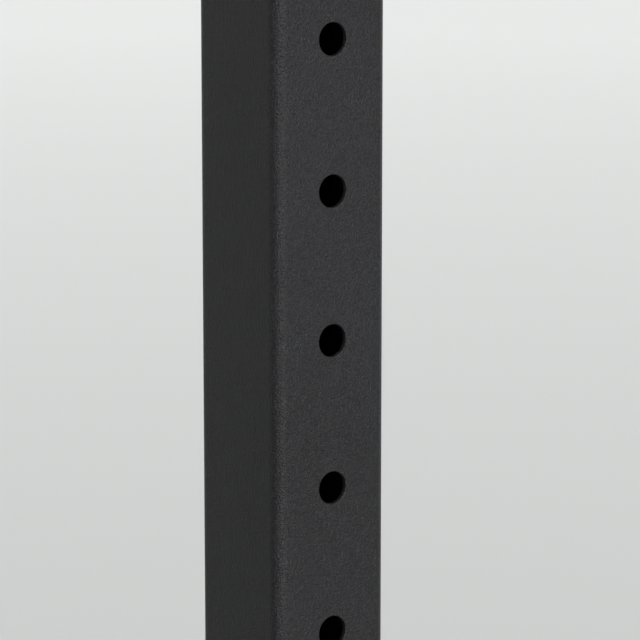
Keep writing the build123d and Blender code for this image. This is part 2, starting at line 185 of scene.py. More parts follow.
# ---- hand tools: selecting, adding and shaping -----------------------------------------


def deselect_all():
    """Leaves edit mode and lets go of everything."""
    if bpy.context.object and bpy.context.object.mode != "OBJECT":
        bpy.ops.object.mode_set(mode="OBJECT")
    bpy.ops.object.select_all(action="DESELECT")


def take(piece):
    """Makes one piece the only one selected, and active."""
    deselect_all()
    piece.select_set(True)
    bpy.context.view_layer.objects.active = piece


def remove(*pieces):
    """Takes away pieces that have served as originals or cutters."""
    for piece in pieces:
        bpy.data.objects.remove(piece, do_unlink=True)


def add(name, primitive, **settings):
    """Adds a primitive at its size and place, with the object itself at the origin."""
    deselect_all()
    primitive(**settings)
    piece = bpy.context.active_object
    piece.name = piece.data.name = name
    bpy.ops.object.transform_apply(location=True, rotation=True, scale=True)
    return piece


def edit(piece):
    """Opens a piece in edit mode with nothing selected."""
    take(piece)
    bpy.ops.object.mode_set(mode="EDIT")
    bpy.ops.mesh.select_all(action="DESELECT")


def done():
    """Back to object mode."""
    bpy.ops.object.mode_set(mode="OBJECT")


def pick(kind, test):
    """In edit mode, selects the VERT, EDGE or FACE elements that pass a test, and nothing else."""
    piece = bpy.context.object
    bpy.ops.mesh.select_mode(type=kind)
    bpy.ops.mesh.select_all(action="DESELECT")
    shape = bmesh.from_edit_mesh(piece.data)
    found = 0
    for element in {"VERT": shape.verts, "EDGE": shape.edges, "FACE": shape.faces}[kind]:
        if test(element):
            element.select_set(True)
            found += 1
    shape.select_flush_mode()
    bmesh.update_edit_mesh(piece.data)
    if not found:
        raise RuntimeError(f"nothing to shape on {piece.name}")


def pick_all():
    """In edit mode, selects everything."""
    bpy.ops.mesh.select_all(action="SELECT")


def extrude_edges(x=0.0, y=0.0, z=0.0):
    """In edit mode, extrudes the selected edges by a step."""
    bpy.ops.mesh.extrude_edges_move(TRANSFORM_OT_translate={"value": (x, y, z)})


def extrude_faces(x=0.0, y=0.0, z=0.0):
    """In edit mode, extrudes the selected faces by a step."""
    bpy.ops.mesh.extrude_region_move(TRANSFORM_OT_translate={"value": (x, y, z)})


def sink_face(border, slope, step):
    """In edit mode, moves the middle of the selected face, inside a border and a narrow slope."""
    bpy.ops.mesh.inset(thickness=border)
    bpy.ops.mesh.inset(thickness=slope)
    bpy.ops.transform.translate(value=step)


def near(value, target, within=2e-5):
    """Whether a length is the one asked for."""
    return abs(value - target) < within


def ends_near(edge, axis, target):
    """Whether both ends of an edge lie at a distance along an axis."""
    return all(near(v.co[axis], target) for v in edge.verts)


def along(edge, axis):
    """Whether an edge runs along an axis."""
    span = edge.verts[1].co - edge.verts[0].co
    return span.length > 1e-7 and abs(span[axis]) > 0.999 * span.length


def middle(edge):
    """The middle of an edge."""
    return (edge.verts[0].co + edge.verts[1].co) / 2


def apply(piece, kind, **settings):
    """Adds a modifier, sets it and applies it."""
    take(piece)
    modifier = piece.modifiers.new(kind.lower(), kind)
    for key, value in settings.items():
        setattr(modifier, key, value)
    bpy.ops.object.modifier_apply(modifier=modifier.name)


def face_outwards(piece):
    """Merges doubles and turns every face outwards."""
    edit(piece)
    pick_all()
    bpy.ops.mesh.remove_doubles(threshold=1e-6)
    bpy.ops.mesh.normals_make_consistent(inside=False)
    done()


def round_edges(piece, width, segments=2, angle=40.0):
    """Rounds every edge sharper than an angle."""
    apply(
        piece, "BEVEL", width=width, segments=segments, limit_method="ANGLE",
        angle_limit=math.radians(angle), miter_outer="MITER_ARC",
    )


def smooth(piece, angle=55.0):
    """Smooth shading that keeps flat faces flat."""
    take(piece)
    bpy.ops.object.shade_smooth_by_angle(angle=math.radians(angle))
    apply(piece, "WEIGHTED_NORMAL", weight=100, keep_sharp=True)


def cut(piece, cutters, operation="DIFFERENCE"):
    """Cuts a piece with other solids, and removes them."""
    for cutter in cutters:
        apply(piece, "BOOLEAN", object=cutter, operation=operation, solver="EXACT")
        remove(cutter)


def join(pieces, name):
    """Joins pieces into one."""
    deselect_all()
    for piece in pieces:
        piece.select_set(True)
    bpy.context.view_layer.objects.active = pieces[0]
    if len(pieces) > 1:
        bpy.ops.object.join()
    pieces[0].name = pieces[0].data.name = name
    return pieces[0]


def copy_to(original, place, name):
    """A copy of a finished piece at a place, with its own mesh."""
    copy = original.copy()
    copy.data = original.data.copy()
    copy.data.transform(place)
    copy.name = copy.data.name = name
    bpy.context.scene.collection.objects.link(copy)
    return copy


def spread(original, places, name):
    """Copies of a finished piece at each place, joined into one piece."""
    return join([copy_to(original, place, name) for place in places], name)


def put(original, places, name):
    """The same, but the original goes."""
    piece = spread(original, places, name)
    remove(original)
    return piece


def shift(x=0.0, y=0.0, z=0.0):
    """A place moved from the origin."""
    return Matrix.Translation((x, y, z))


def turn(degrees, axis):
    """A place turned about an axis through the origin."""
    return Matrix.Rotation(math.radians(degrees), 4, axis)


def coat_tube(piece, wall):
    """Gives a square tube along Z the powder coat outside, and inside a near-black finish that is painted
    shade for the dark inside of the tube.
    """
    piece.data.materials.append(finish("powder_coat"))
    # the faces inside the tube get painted shade, a near-black finish
    piece.data.materials.append(finish("inner_wall"))
    inside = HALF_TUBE - wall + 1e-5
    for face in piece.data.polygons:
        points = [piece.data.vertices[index].co for index in face.vertices]
        if all(max(abs(p.x), abs(p.y)) < inside for p in points):
            face.material_index = 1


def hand_over(piece, look, *nodes, body="frame"):
    """Gives a piece its finish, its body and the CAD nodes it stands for."""
    if not piece.data.materials:
        piece.data.materials.append(finish(look))
    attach(piece, body)
    if nodes:
        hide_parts(*nodes)


# ---- stock shapes ----------------------------------------------------------------------


def flat_shape(name, corners):
    """One flat face in the YZ plane with the given corners."""
    piece = add(
        name, bpy.ops.mesh.primitive_circle_add, vertices=len(corners), radius=0.1, fill_type="NGON",
        rotation=(0, math.pi / 2, 0),
    )
    for vertex, (y, z) in zip(piece.data.vertices, corners):
        vertex.co = (0.0, y, z)
    return piece


def rod(radius, depth, place=(0, 0, 0), axis="Z", vertices=32):
    """A plain cylinder about an axis, with its middle at a place. It serves as a cutter."""
    rotation = {"X": (0, math.pi / 2, 0), "Y": (math.pi / 2, 0, 0), "Z": (0, 0, 0)}[axis]
    return add(
        "rod", bpy.ops.mesh.primitive_cylinder_add, vertices=vertices, radius=radius, depth=depth,
        location=place, rotation=rotation,
    )


def thick_shape(name, corners, thickness, radius=0.0):
    """A flat plate in the YZ plane from X = 0 to its thickness, with rounded corners."""
    piece = flat_shape(name, corners)
    edit(piece)
    if radius:
        pick_all()
        bpy.ops.mesh.bevel(offset=radius, segments=5, affect="VERTICES")
    pick_all()
    extrude_faces(x=thickness)
    done()
    face_outwards(piece)
    return piece


def drilled_plate(name, corners, radius, holes, edge):
    """A cut plate, PLATE thick, with bolt holes and softened edges."""
    piece = thick_shape(name, corners, PLATE, radius)
    cut(piece, [rod(BOLT_HOLE_R, 4 * PLATE, (PLATE / 2, y, z), "X", vertices=24) for y, z in holes])
    round_edges(piece, edge)
    smooth(piece)
    return piece


def plain_tube(name, length, wall):
    """Square tube along +Z from the origin, open at both ends, with softened cut ends."""
    piece = add(name, bpy.ops.mesh.primitive_plane_add, size=TUBE)
    edit(piece)
    pick_all()
    bpy.ops.mesh.bevel(offset=CORNER, segments=5, affect="VERTICES")
    pick_all()
    bpy.ops.mesh.inset(thickness=wall)
    bpy.ops.mesh.delete(type="FACE")
    pick_all()
    extrude_faces(z=length)
    done()
    face_outwards(piece)
    round_edges(piece, SOFT, segments=1, angle=60)
    smooth(piece)
    return piece


def next_ring(radius, depth):
    """In edit mode, extrudes the selected ring to a new radius and depth about the Y axis."""
    shape = bmesh.from_edit_mesh(bpy.context.object.data)
    ring = [v.co for v in shape.verts if v.select]
    old_radius = sum(math.hypot(co.x, co.z) for co in ring) / len(ring)
    old_depth = sum(co.y for co in ring) / len(ring)
    extrude_edges(y=depth - old_depth)
    scale = radius / old_radius
    bpy.ops.transform.resize(value=(scale, 1, scale), center_override=(0, depth, 0))


def square_off(half_x, half_z):
    """In edit mode, extrudes the selected ring outwards to a rectangle in its own plane."""
    extrude_edges()
    shape = bmesh.from_edit_mesh(bpy.context.object.data)
    ring = [v for v in shape.verts if v.select]
    corner_angle, step = math.atan2(half_z, half_x), 2 * math.pi / len(ring)
    for vertex in ring:
        x, z = vertex.co.x, vertex.co.z
        if abs(math.atan2(abs(z), abs(x)) - corner_angle) < step / 2:
            vertex.co.x, vertex.co.z = math.copysign(half_x, x), math.copysign(half_z, z)
        else:
            reach = 1 / max(abs(x) / half_x, abs(z) / half_z)
            vertex.co.x, vertex.co.z = x * reach, z * reach
    bmesh.update_edit_mesh(bpy.context.object.data)


def hole_section(name, wall, radius, pitch, rim):
    """One pitch of a drilled square tube along Z, with a hole through both its Y faces."""
    flat = HALF_TUBE - CORNER
    outside, inside = -HALF_TUBE, -HALF_TUBE + wall
    mouth = radius + rim / 2

    def on_mouth(edge):
        """Whether an edge is part of the open ring at the hole."""
        return edge.is_boundary and all(near(math.hypot(v.co.x, v.co.z), mouth) for v in edge.verts)

    piece = add(
        name, bpy.ops.mesh.primitive_circle_add, vertices=32, radius=mouth, location=(0, inside, 0),
        rotation=(math.pi / 2, 0, 0),
    )
    edit(piece)
    pick_all()
    square_off(flat, pitch / 2)
    pick("EDGE", on_mouth)
    next_ring(radius, inside - rim / 2)
    for bend in (math.radians(30 * step) for step in range(4)):
        next_ring(radius + rim * (1 - math.cos(bend)), outside + rim * (1 - math.sin(bend)))
    square_off(flat, pitch / 2)
    for way in (-1, 1):
        pick("EDGE", lambda e, way=way: e.is_boundary and ends_near(e, 0, way * flat) and along(e, 2))
        bpy.ops.mesh.spin(
            steps=5, angle=-way * math.pi / 2, center=(way * flat, -flat, 0), axis=(0, 0, 1)
        )
        extrude_edges(y=flat)
    done()
    apply(piece, "MIRROR", use_axis=(False, True, False), merge_threshold=1e-5)
    return piece


def drilled_tube(name, low, high, first, count, spacing, wall, radius, rim, pitch):
    """Square tube along Z from low to high, with evenly spaced holes through its Y faces."""
    piece = hole_section(name, wall, radius, pitch, rim)
    piece.data.transform(shift(z=first))
    apply(
        piece, "ARRAY", count=count, use_relative_offset=False, use_constant_offset=True,
        constant_offset_displace=(0, 0, spacing), use_merge_vertices=True, merge_threshold=1e-5,
    )
    edit(piece)
    last = first + (count - 1) * spacing
    if spacing > pitch + 1e-6:
        for number in range(count - 1):
            top = first + number * spacing + pitch / 2
            pick("EDGE", lambda e, top=top: e.is_boundary and ends_near(e, 2, top))
            extrude_edges(z=spacing - pitch)
        pick_all()
        bpy.ops.mesh.remove_doubles(threshold=1e-5)
    for edge_at, end in ((first - pitch / 2, low), (last + pitch / 2, high)):
        pick("EDGE", lambda e, edge_at=edge_at: e.is_boundary and ends_near(e, 2, edge_at))
        extrude_edges(z=end - edge_at)
        pick("EDGE", lambda e, end=end: e.is_boundary and ends_near(e, 2, end))
        bpy.ops.mesh.fill()
    done()
    face_outwards(piece)
    smooth(piece)
    return piece


def turned(name, rings, vertices=32, closed=False):
    """A round piece about +Z from rings of (radius, height). A closed one ends where it began."""
    radius, height = rings[0]
    piece = add(
        name, bpy.ops.mesh.primitive_circle_add, vertices=vertices, radius=radius,
        location=(0, 0, height), fill_type="NOTHING" if closed else "NGON",
    )
    edit(piece)
    bpy.ops.mesh.select_mode(type="EDGE")
    pick_all()
    path = rings[1:] + ([rings[0]] if closed else [])
    for index, (next_radius, next_height) in enumerate(path):
        if index == 0 and not closed:
            pick("EDGE", lambda e: True)
        extrude_edges(z=next_height - height)
        scale = next_radius / radius
        bpy.ops.transform.resize(value=(scale, scale, 1), center_override=(0, 0, next_height))
        radius, height = next_radius, next_height
    if not closed:
        bpy.ops.mesh.edge_face_add()
    done()
    face_outwards(piece)
    return piece


def arc_rings(centre_radius, centre_height, size, start, stop, steps):
    """Rings along a circular bend, for a turned piece's rounded edge."""
    rings = []
    for step in range(steps + 1):
        angle = math.radians(start + (stop - start) * step / steps)
        rings.append(
            (centre_radius + size * math.cos(angle), centre_height + size * math.sin(angle))
        )
    return rings


def hexagon(name, flats, thickness, both_ends=False):
    """A hexagon along +Z from the origin, with the corners of its faces turned off."""
    piece = add(
        name, bpy.ops.mesh.primitive_cylinder_add, vertices=6, radius=flats / math.sqrt(3),
        depth=thickness, location=(0, 0, thickness / 2),
    )
    slope, narrow, past, wide = 0.55, flats / 2 * 0.95, 0.0008, flats
    tip, shoulder = narrow - past / slope, (wide - narrow) * slope
    top = [(wide, thickness - shoulder), (tip, thickness + past)]
    low = [(tip, -past), (wide, shoulder)] if both_ends else [(wide, -shoulder - past)]
    if both_ends and shoulder > thickness / 2:
        middle_radius = narrow + thickness / 2 / slope
        low, top = [(tip, -past), (middle_radius, thickness / 2)], [(tip, thickness + past)]
    cut(piece, [turned("lathe_tool", low + top, vertices=36)], "INTERSECT")
    return piece


def weld_bead(name, path, size, closed=True, seed=1):
    """A rippled weld bead along a path of points."""
    draw = random.Random(seed)
    count, around = len(path), 6
    corners, faces = [], []
    for index, point in enumerate(path):
        before = path[index - 1] if closed or index else path[index]
        after = path[(index + 1) % count] if closed or index < count - 1 else path[index]
        ahead = (after - before).normalized()
        side = ahead.orthogonal() if abs(ahead.x) > 0.9 else ahead.cross(Vector((1, 0, 0)))
        side.normalize()
        up = ahead.cross(side).normalized()
        ripple = 1.0 + 0.10 * math.sin(index * 2 * math.pi / 3) + draw.uniform(-0.04, 0.04)
        taper = 1.0 if closed else min(1.0, 0.45 + 0.2 * min(index, count - 1 - index))
        for corner in range(around):
            angle = 2 * math.pi * corner / around
            spoke = side * math.cos(angle) + up * math.sin(angle)
            corners.append(point + spoke * size * ripple * taper)
    for index in range(count if closed else count - 1):
        here, there = index * around, ((index + 1) % count) * around
        for corner in range(around):
            ahead = (corner + 1) % around
            faces.append((here + corner, here + ahead, there + ahead, there + corner))
    if not closed:
        faces.append(tuple(range(around)))
        faces.append(tuple((count - 1) * around + corner for corner in reversed(range(around))))
    mesh = bpy.data.meshes.new(name)
    mesh.from_pydata(corners, [], faces)
    piece = bpy.data.objects.new(name, mesh)
    bpy.context.scene.collection.objects.link(piece)
    face_outwards(piece)
    take(piece)
    bpy.ops.object.shade_smooth()
    return piece


def square_path(x, y, z, half, radius, first, count, step=0.001):
    """Points along some sides of a square tube in a YZ plane.

    Side 0 is the rear, 1 the top, 2 the front and 3 the underside.
    """
    flat = half - radius
    points = []
    for quarter in range(first, first + count):
        spin = Matrix.Rotation(quarter * math.pi / 2, 2)
        steps = max(2, round(2 * flat / step))
        for index in range(steps):
            points.append(spin @ Vector((half, -flat + 2 * flat * index / steps)))
        if quarter == first + count - 1:
            break
        bends = max(3, round(math.pi / 2 * radius / step))
        for index in range(bends):
            angle = math.pi / 2 * index / bends
            bend = Vector((math.cos(angle), math.sin(angle)))
            points.append(spin @ (Vector((flat, flat)) + radius * bend))
    return [Vector((x, y + p.x, z + p.y)) for p in points]


def round_path(x, y, z, radius, step=0.001):
    """Points round a circle in a YZ plane."""
    count = 3 * round(2 * math.pi * radius / step / 3)
    angles = [2 * math.pi * index / count for index in range(count)]
    return [Vector((x, y + radius * math.cos(angle), z + radius * math.sin(angle))) for angle in angles]


def straight_path(start, end, step=0.001):
    """Points along a straight line."""
    start, end = Vector(start), Vector(end)
    count = max(2, round((end - start).length / step))
    return [start.lerp(end, i / count) for i in range(count + 1)]


def bent_strip(name, corners, width, bends):
    """A bent strip, width wide about X = 0, from its outline in the YZ plane.

    bends holds (radius, corner numbers) for the corners of the outline that are rounded.
    """
    piece = flat_shape(name, corners)
    edit(piece)
    for radius, numbers in bends:
        places = [corners[number] for number in numbers]
        pick("VERT", lambda v, places=places: any(near(v.co.y, y) and near(v.co.z, z) for y, z in places))
        bpy.ops.mesh.bevel(offset=radius, segments=7, affect="VERTICES")
    pick_all()
    extrude_faces(x=width)
    pick_all()
    bpy.ops.transform.translate(value=(-width / 2, 0, 0))
    done()
    face_outwards(piece)
    return piece


def round_corners(piece, test, radius, segments=6):
    """Rounds the edges that pass a test, such as the corners of a flat bar."""
    edit(piece)
    pick("EDGE", test)
    bpy.ops.mesh.bevel(offset=radius, segments=segments, affect="EDGES")
    done()


def block(name, low, high):
    """A block from its lowest to its highest corner, as a start for shaping."""
    low, high = Vector(low), Vector(high)
    return add(
        name, bpy.ops.mesh.primitive_cube_add, size=1.0, location=(low + high) / 2, scale=high - low
    )


# ---- finishes --------------------------------------------------------------------------


FINISH_NAME = "cage_{}"  # the frame's own materials have the slots' names


class Value:
    """What comes out of a node. Arithmetic on it adds the Math nodes."""

    def __init__(self, nodes, link):
        self.nodes, self.link = nodes, link

    def math(self, operation, first, second):
        """One Math node."""
        return self.nodes.node("ShaderNodeMath", {"operation": operation}, {0: first, 1: second})

    def __add__(self, other):
        return self.math("ADD", self, other)

    def __radd__(self, other):
        return self.math("ADD", other, self)

    def __sub__(self, other):
        return self.math("SUBTRACT", self, other)

    def __rsub__(self, other):
        return self.math("SUBTRACT", other, self)

    def __mul__(self, other):
        return self.math("MULTIPLY", self, other)


class Nodes:
    """The nodes of a material or of the surroundings, with none at first."""

    def __init__(self, owner):
        owner.use_nodes = True
        self.tree = owner.node_tree
        self.tree.nodes.clear()

    def node(self, kind, settings=None, inputs=None, output=0):
        """Adds a node: its settings first, then the values or links of its sockets."""
        node = self.tree.nodes.new(kind)
        for key, value in (settings or {}).items():
            setattr(node, key, value)
        for key, value in (inputs or {}).items():
            if isinstance(value, Value):
                self.tree.links.new(value.link, node.inputs[key])
            else:
                node.inputs[key].default_value = value
        return Value(self, node.outputs[output]) if node.outputs else None


class Paint(Nodes):
    """One material and its nodes."""

    def __init__(self, name):
        self.material = bpy.data.materials.new(FINISH_NAME.format(name))
        super().__init__(self.material)
        self.place = self.node("ShaderNodeTexCoord", output="Object")

    def noise(self, spacing, detail=2.0, roughness=0.5, stretch=(1.0, 1.0, 1.0)):
        """Soft random values from 0 to 1, about a spacing apart, drawn out where stretch is over 1."""
        place = self.node(
            "ShaderNodeMapping", {"vector_type": "POINT"},
            {"Vector": self.place, "Scale": tuple(1.0 / (spacing * way) for way in stretch)},
        )
        return self.node(
            "ShaderNodeTexNoise", {},
            {"Vector": place, "Scale": 1.0, "Detail": detail, "Roughness": roughness},
        )

    def ramp(self, value, low, high):
        """0 below low, 1 above high, and straight between."""
        return self.node(
            "ShaderNodeMapRange", {"clamp": True}, {"Value": value, "From Min": low, "From Max": high}
        )

    def mix(self, factor, first, second):
        """One colour fading into another."""
        return self.node("ShaderNodeMix", {"data_type": "RGBA"}, {0: factor, 6: first, 7: second}, output=2)

    def surface(self, colour, roughness, height=None, depth=0.0, **constants):
        """The finished surface. A height from 0 to 1 stands proud by the depth."""
        inputs = {"Base Color": colour, "Roughness": roughness}
        inputs.update({key.replace("_", " "): value for key, value in constants.items()})
        if height is not None:
            inputs["Normal"] = self.node(
                "ShaderNodeBump", {}, {"Strength": 1.0, "Distance": depth, "Height": height}, output="Normal"
            )
        shader = self.node("ShaderNodeBsdfPrincipled", {}, inputs)
        self.node("ShaderNodeOutputMaterial", {}, {"Surface": shader})
        return self.material


def shade(colour, times=1.0):
    """A colour with alpha, made lighter or darker."""
    return tuple(channel * times for channel in colour) + (1.0,)


def powder_coat(choice):
    """Black powder coat with a fine sandy texture."""
    paint = Paint("powder_coat")
    sand = paint.noise(choice.grain, detail=2.0, roughness=0.7)
    dust = paint.noise(choice.grain * 0.5, detail=1.0)
    cloud = paint.noise(0.09, detail=3.0)
    height = sand * 0.6 + dust * 0.4
    tone = paint.ramp(sand * 0.6 + dust * 0.4 + (cloud - 0.5) * 0.2, 0.35, 0.65)
    colour = paint.mix(tone, shade(choice.coat, 0.4), shade(choice.coat, 1.8))
    roughness = choice.coat_roughness + (cloud - 0.5) * 0.10 + (dust - 0.5) * 0.16
    return paint.surface(colour, roughness, height, choice.grain_depth, Specular_IOR_Level=0.19)


def inner_wall(choice):
    """The inside of a tube: a dull, rough skin like a mist of coat over mill scale, coloured far darker than
    the coat as painted shade for the inside of the tube.
    """
    paint = Paint("inner_wall")
    scale = paint.noise(0.008, detail=4.0)
    # painted shade: both colours are far darker than the powder coat outside
    colour = paint.mix(scale, shade(choice.coat, 0.2), shade(choice.coat, 0.5))
    return paint.surface(colour, 0.82 + scale * 0.1, scale, 0.00005, Specular_IOR_Level=0.05)


def coated_weld(choice):
    """The same coat over a weld bead, where it flows out smoother."""
    paint = Paint("coated_weld")
    sand = paint.noise(choice.grain * 1.3, detail=1.0)
    colour = paint.mix(sand, shade(choice.coat, 0.85), shade(choice.coat, 1.2))
    roughness = choice.coat_roughness - 0.08 + sand * 0.06
    return paint.surface(colour, roughness, sand, choice.grain_depth * 0.3, Specular_IOR_Level=0.28)


def black_zinc(_choice):
    """Black zinc on the bolts, washers and nuts, a little browner where it is thin."""
    paint = Paint("black_zinc")
    cloud = paint.noise(0.006, detail=3.0)
    turning = paint.noise(0.0011, detail=2.0)
    thin = paint.ramp(cloud, 0.35, 0.7)
    colour = paint.mix(thin, (0.052, 0.051, 0.052, 1.0), (0.098, 0.092, 0.085, 1.0))
    return paint.surface(colour, 0.30 + cloud * 0.14 + turning * 0.06, turning, 0.00002, Metallic=0.85)


def bright_zinc(_choice):
    """Bright zinc on the pegs, brushed round by the holes they slide in."""
    paint = Paint("bright_zinc")
    streak = paint.noise(0.0007, detail=2.0, stretch=(1.0, 14.0, 1.0))
    cloud = paint.noise(0.012, detail=3.0)
    tone = paint.ramp(cloud, 0.3, 0.7)
    colour = paint.mix(tone, (0.46, 0.465, 0.47, 1.0), (0.60, 0.60, 0.59, 1.0))
    return paint.surface(colour, 0.24 + streak * 0.16 + cloud * 0.06, streak, 0.000015, Metallic=1.0)


def worn_coat(choice):
    """Powder coat on the plate pegs, rubbed smooth and shiny along the top by the plates."""
    paint = Paint("worn_coat")
    sand = paint.noise(choice.grain, detail=1.5, roughness=0.6)
    rub = paint.noise(0.02, detail=4.0, stretch=(4.0, 1.0, 1.0))
    facing = paint.node("ShaderNodeNewGeometry", output="Normal")
    upward = paint.node("ShaderNodeSeparateXYZ", {}, {0: facing}, output="Z")
    worn = paint.ramp(upward, 0.55, 1.0) * paint.ramp(rub, 0.42, 0.62)
    colour = paint.mix(worn, shade(choice.coat, 0.95), (0.060, 0.060, 0.062, 1.0))
    roughness = choice.coat_roughness - worn * 0.16
    height = sand * (1.0 - worn * 0.8)
    return paint.surface(colour, roughness, height, choice.grain_depth, Specular_IOR_Level=0.3)


def black_rubber(choice):
    """Moulded rubber with a bloom of dust in its pores."""
    paint = Paint("black_rubber")
    pores = paint.noise(0.0016, detail=3.0)
    bloom = paint.noise(0.03, detail=4.0)
    colour = paint.mix(paint.ramp(bloom, 0.35, 0.75), shade(choice.rubber, 0.9), shade(choice.rubber, 1.9))
    return paint.surface(colour, 0.66 + bloom * 0.16, pores, 0.00008, Specular_IOR_Level=0.35)


def plug_plastic(choice):
    """Injection-moulded plastic with a fine spark-eroded skin."""
    paint = Paint("plug_plastic")
    skin = paint.noise(0.0006, detail=1.0)
    scuff = paint.noise(0.018, detail=5.0, roughness=0.7)
    colour = paint.mix(paint.ramp(scuff, 0.5, 0.8), shade(choice.rubber, 1.3), shade(choice.rubber, 2.0))
    return paint.surface(colour, 0.40 + scuff * 0.16, skin, 0.00003)


def liner_plastic(choice):
    """Machined wear plastic, with long faint scratches from the bar."""
    paint = Paint("liner_plastic")
    scratch = paint.noise(0.0008, detail=3.0, roughness=0.65, stretch=(40.0, 1.0, 1.0))
    cloud = paint.noise(0.025, detail=3.0)
    marks = paint.ramp(scratch, 0.55, 0.75)
    colour = paint.mix(marks * 0.6 + cloud * 0.3, shade(choice.liner, 0.8), shade(choice.liner, 1.9))
    return paint.surface(colour, 0.34 + marks * 0.2 + cloud * 0.08, scratch, 0.00004)


def nylon(_choice):
    """The lock ring in the nuts."""
    paint = Paint("nylon")
    cloud = paint.noise(0.003, detail=2.0)
    colour = paint.mix(cloud, (0.50, 0.49, 0.45, 1.0), (0.62, 0.61, 0.57, 1.0))
    return paint.surface(colour, 0.38 + cloud * 0.1, cloud, 0.00003)


FINISHES = {
    maker.__name__: maker
    for maker in (
        powder_coat, inner_wall, coated_weld, black_zinc, bright_zinc, worn_coat, black_rubber,
        plug_plastic, liner_plastic, nylon,
    )
}


def finish(name):
    """A finish by name, made the first time that a piece asks for it."""
    made = bpy.data.materials.get(FINISH_NAME.format(name))
    return made or FINISHES[name](bpy.context.scene.cage_finish)


# ---- the frame's pieces ----------------------------------------------------------------


def base_plate(edge):
    """Plate that clamps an upright to its floor rail, about the upright's axis."""
    low, high = RAIL_LOW.z, RAIL_Z + GUSSET_REACH
    wide, narrow, shoulder = 0.078, HALF_TUBE, RAIL_LOW.z + GUSSET_SHOULDER
    corners = [
        (-wide, low), (wide, low), (wide, shoulder), (narrow, high), (-narrow, high), (-wide, shoulder),
    ]
    holes = [(along_rail, RAIL_Z + up) for along_rail, up in BASE_BOLTS]
    return drilled_plate("base_plate", corners, 0.004, holes, edge)


def roof_plate(edge):
    """Plate that clamps a roof rail to its upright. It reaches inwards, along +Y."""
    high, low = ROOF_HIGH.z, ROOF_Z - GUSSET_REACH
    reach, shoulder = 0.130, ROOF_HIGH.z - GUSSET_SHOULDER
    corners = [(-HALF_TUBE, low), (HALF_TUBE, low), (reach, shoulder), (reach, high), (-HALF_TUBE, high)]
    holes = [(inwards, ROOF_Z - down) for inwards, down in ROOF_BOLTS]
    return drilled_plate("roof_plate", corners, 0.004, holes, edge)


def flange_plate(edge):
    """Narrow plate with a bolt above and below its middle."""
    wide, tall = HALF_TUBE, FLANGE_HALF
    corners = [(-wide, -tall), (wide, -tall), (wide, tall), (-wide, tall)]
    return drilled_plate("flange_plate", corners, 0.006, [(0, -FLANGE_BOLT), (0, FLANGE_BOLT)], edge)


def plate_place(side, end, outside, z=0.0):
    """Where a plate stands on the outer or inner face of an upright. It faces the cage's middle."""
    face = OUTER_FACE if outside else INNER_FACE - PLATE
    x = side * (face + PLATE / 2)
    facing_middle = turn(180, "Z") if end > 0 else Matrix()
    return shift(x, end * POST_Y, z) @ facing_middle @ shift(-PLATE / 2)


# the sides of each tube that have plate beside them: the first side, and how many
CROSS_WELDS = {"base": [(0, 3)], "mid": [(1, 1), (3, 1)], "top": [(2, 2)]}


def weld_tube_ends(name, y, z, size, paths, closed):
    """Weld beads at both ends of a crossmember, where it meets its plates."""
    beads = []
    for side in SIDES.values():
        x = side * (CROSS_END - BEAD_OUT * size)
        for path in paths:
            beads.append(weld_bead(name, path(x, y, z), size, closed, seed=len(beads) + 1))
    return join(beads, name)


class CAGE_OT_uprights(bpy.types.Operator):
    """Adds the four uprights, drilled from top to bottom"""

    bl_idname = "cage.uprights"
    bl_label = "Uprights"

    def execute(self, context):
        sizes = context.scene.cage_sizes
        post = drilled_tube(
            "upright", POST_LOW.z, POST_HIGH.z, FIRST_HOLE, HOLE_COUNT, sizes.pitch, sizes.wall,
            sizes.hole / 2, sizes.rim, sizes.pitch,
        )
        coat_tube(post, sizes.wall)
        for side_name, side in SIDES.items():
            for end_name, end in ENDS.items():
                copy = copy_to(post, shift(side * POST_X, end * POST_Y), f"post_{end_name}_{side_name}")
                hand_over(copy, "powder_coat", f"upright_{end_name}_{side_name}")
        remove(post)
        return {"FINISHED"}


class CAGE_OT_rails(bpy.types.Operator):
    """Adds the floor rails with their anchor holes, and the roof rails"""

    bl_idname = "cage.rails"
    bl_label = "Rails"

    def execute(self, context):
        sizes = context.scene.cage_sizes
        floor_rail = drilled_tube(
            "floor_rail", RAIL_LOW.y, RAIL_HIGH.y, -ANCHOR_Y, 2, 2 * ANCHOR_Y, sizes.wall,
            ANCHOR_R, sizes.rim, sizes.pitch,
        )
        coat_tube(floor_rail, sizes.wall)
        roof_rail = plain_tube("roof_rail", ROOF_HIGH.y - ROOF_LOW.y, sizes.wall)
        lay_down = turn(90, "X")
        for side_name, side in SIDES.items():
            place = shift(side * POST_X, 0, RAIL_Z) @ lay_down
            hand_over(
                copy_to(floor_rail, place, f"floor_rail_{side_name}"), "powder_coat", f"base_rail_{side_name}"
            )
            place = shift(side * POST_X, ROOF_HIGH.y, ROOF_Z) @ lay_down
            hand_over(
                copy_to(roof_rail, place, f"roof_rail_{side_name}"), "powder_coat", f"top_rail_{side_name}"
            )
        remove(floor_rail, roof_rail)
        return {"FINISHED"}


class CAGE_OT_crossmembers(bpy.types.Operator):
    """Adds the three rear crossmembers and the welds at their ends"""

    bl_idname = "cage.crossmembers"
    bl_label = "Crossmembers"

    def execute(self, context):
        sizes = context.scene.cage_sizes
        tube = plain_tube("crossmember", 2 * CROSS_END, sizes.wall)
        for level, z in (("base", RAIL_Z), ("mid", CROSS_Z), ("top", ROOF_Z)):
            copy = copy_to(tube, shift(-CROSS_END, POST_Y, z) @ turn(90, "Y"), f"cross_tube_{level}")
            hand_over(copy, "powder_coat", f"rear_{level}_crossmember")
            half = HALF_TUBE + BEAD_OUT * sizes.weld
            paths = [
                lambda x, y, z, run=run: square_path(x, y, z, half, CORNER, *run)
                for run in CROSS_WELDS[level]
            ]
            beads = weld_tube_ends(f"cross_tube_welds_{level}", POST_Y, z, sizes.weld, paths, closed=False)
            hand_over(beads, "coated_weld")
        remove(tube)
        return {"FINISHED"}


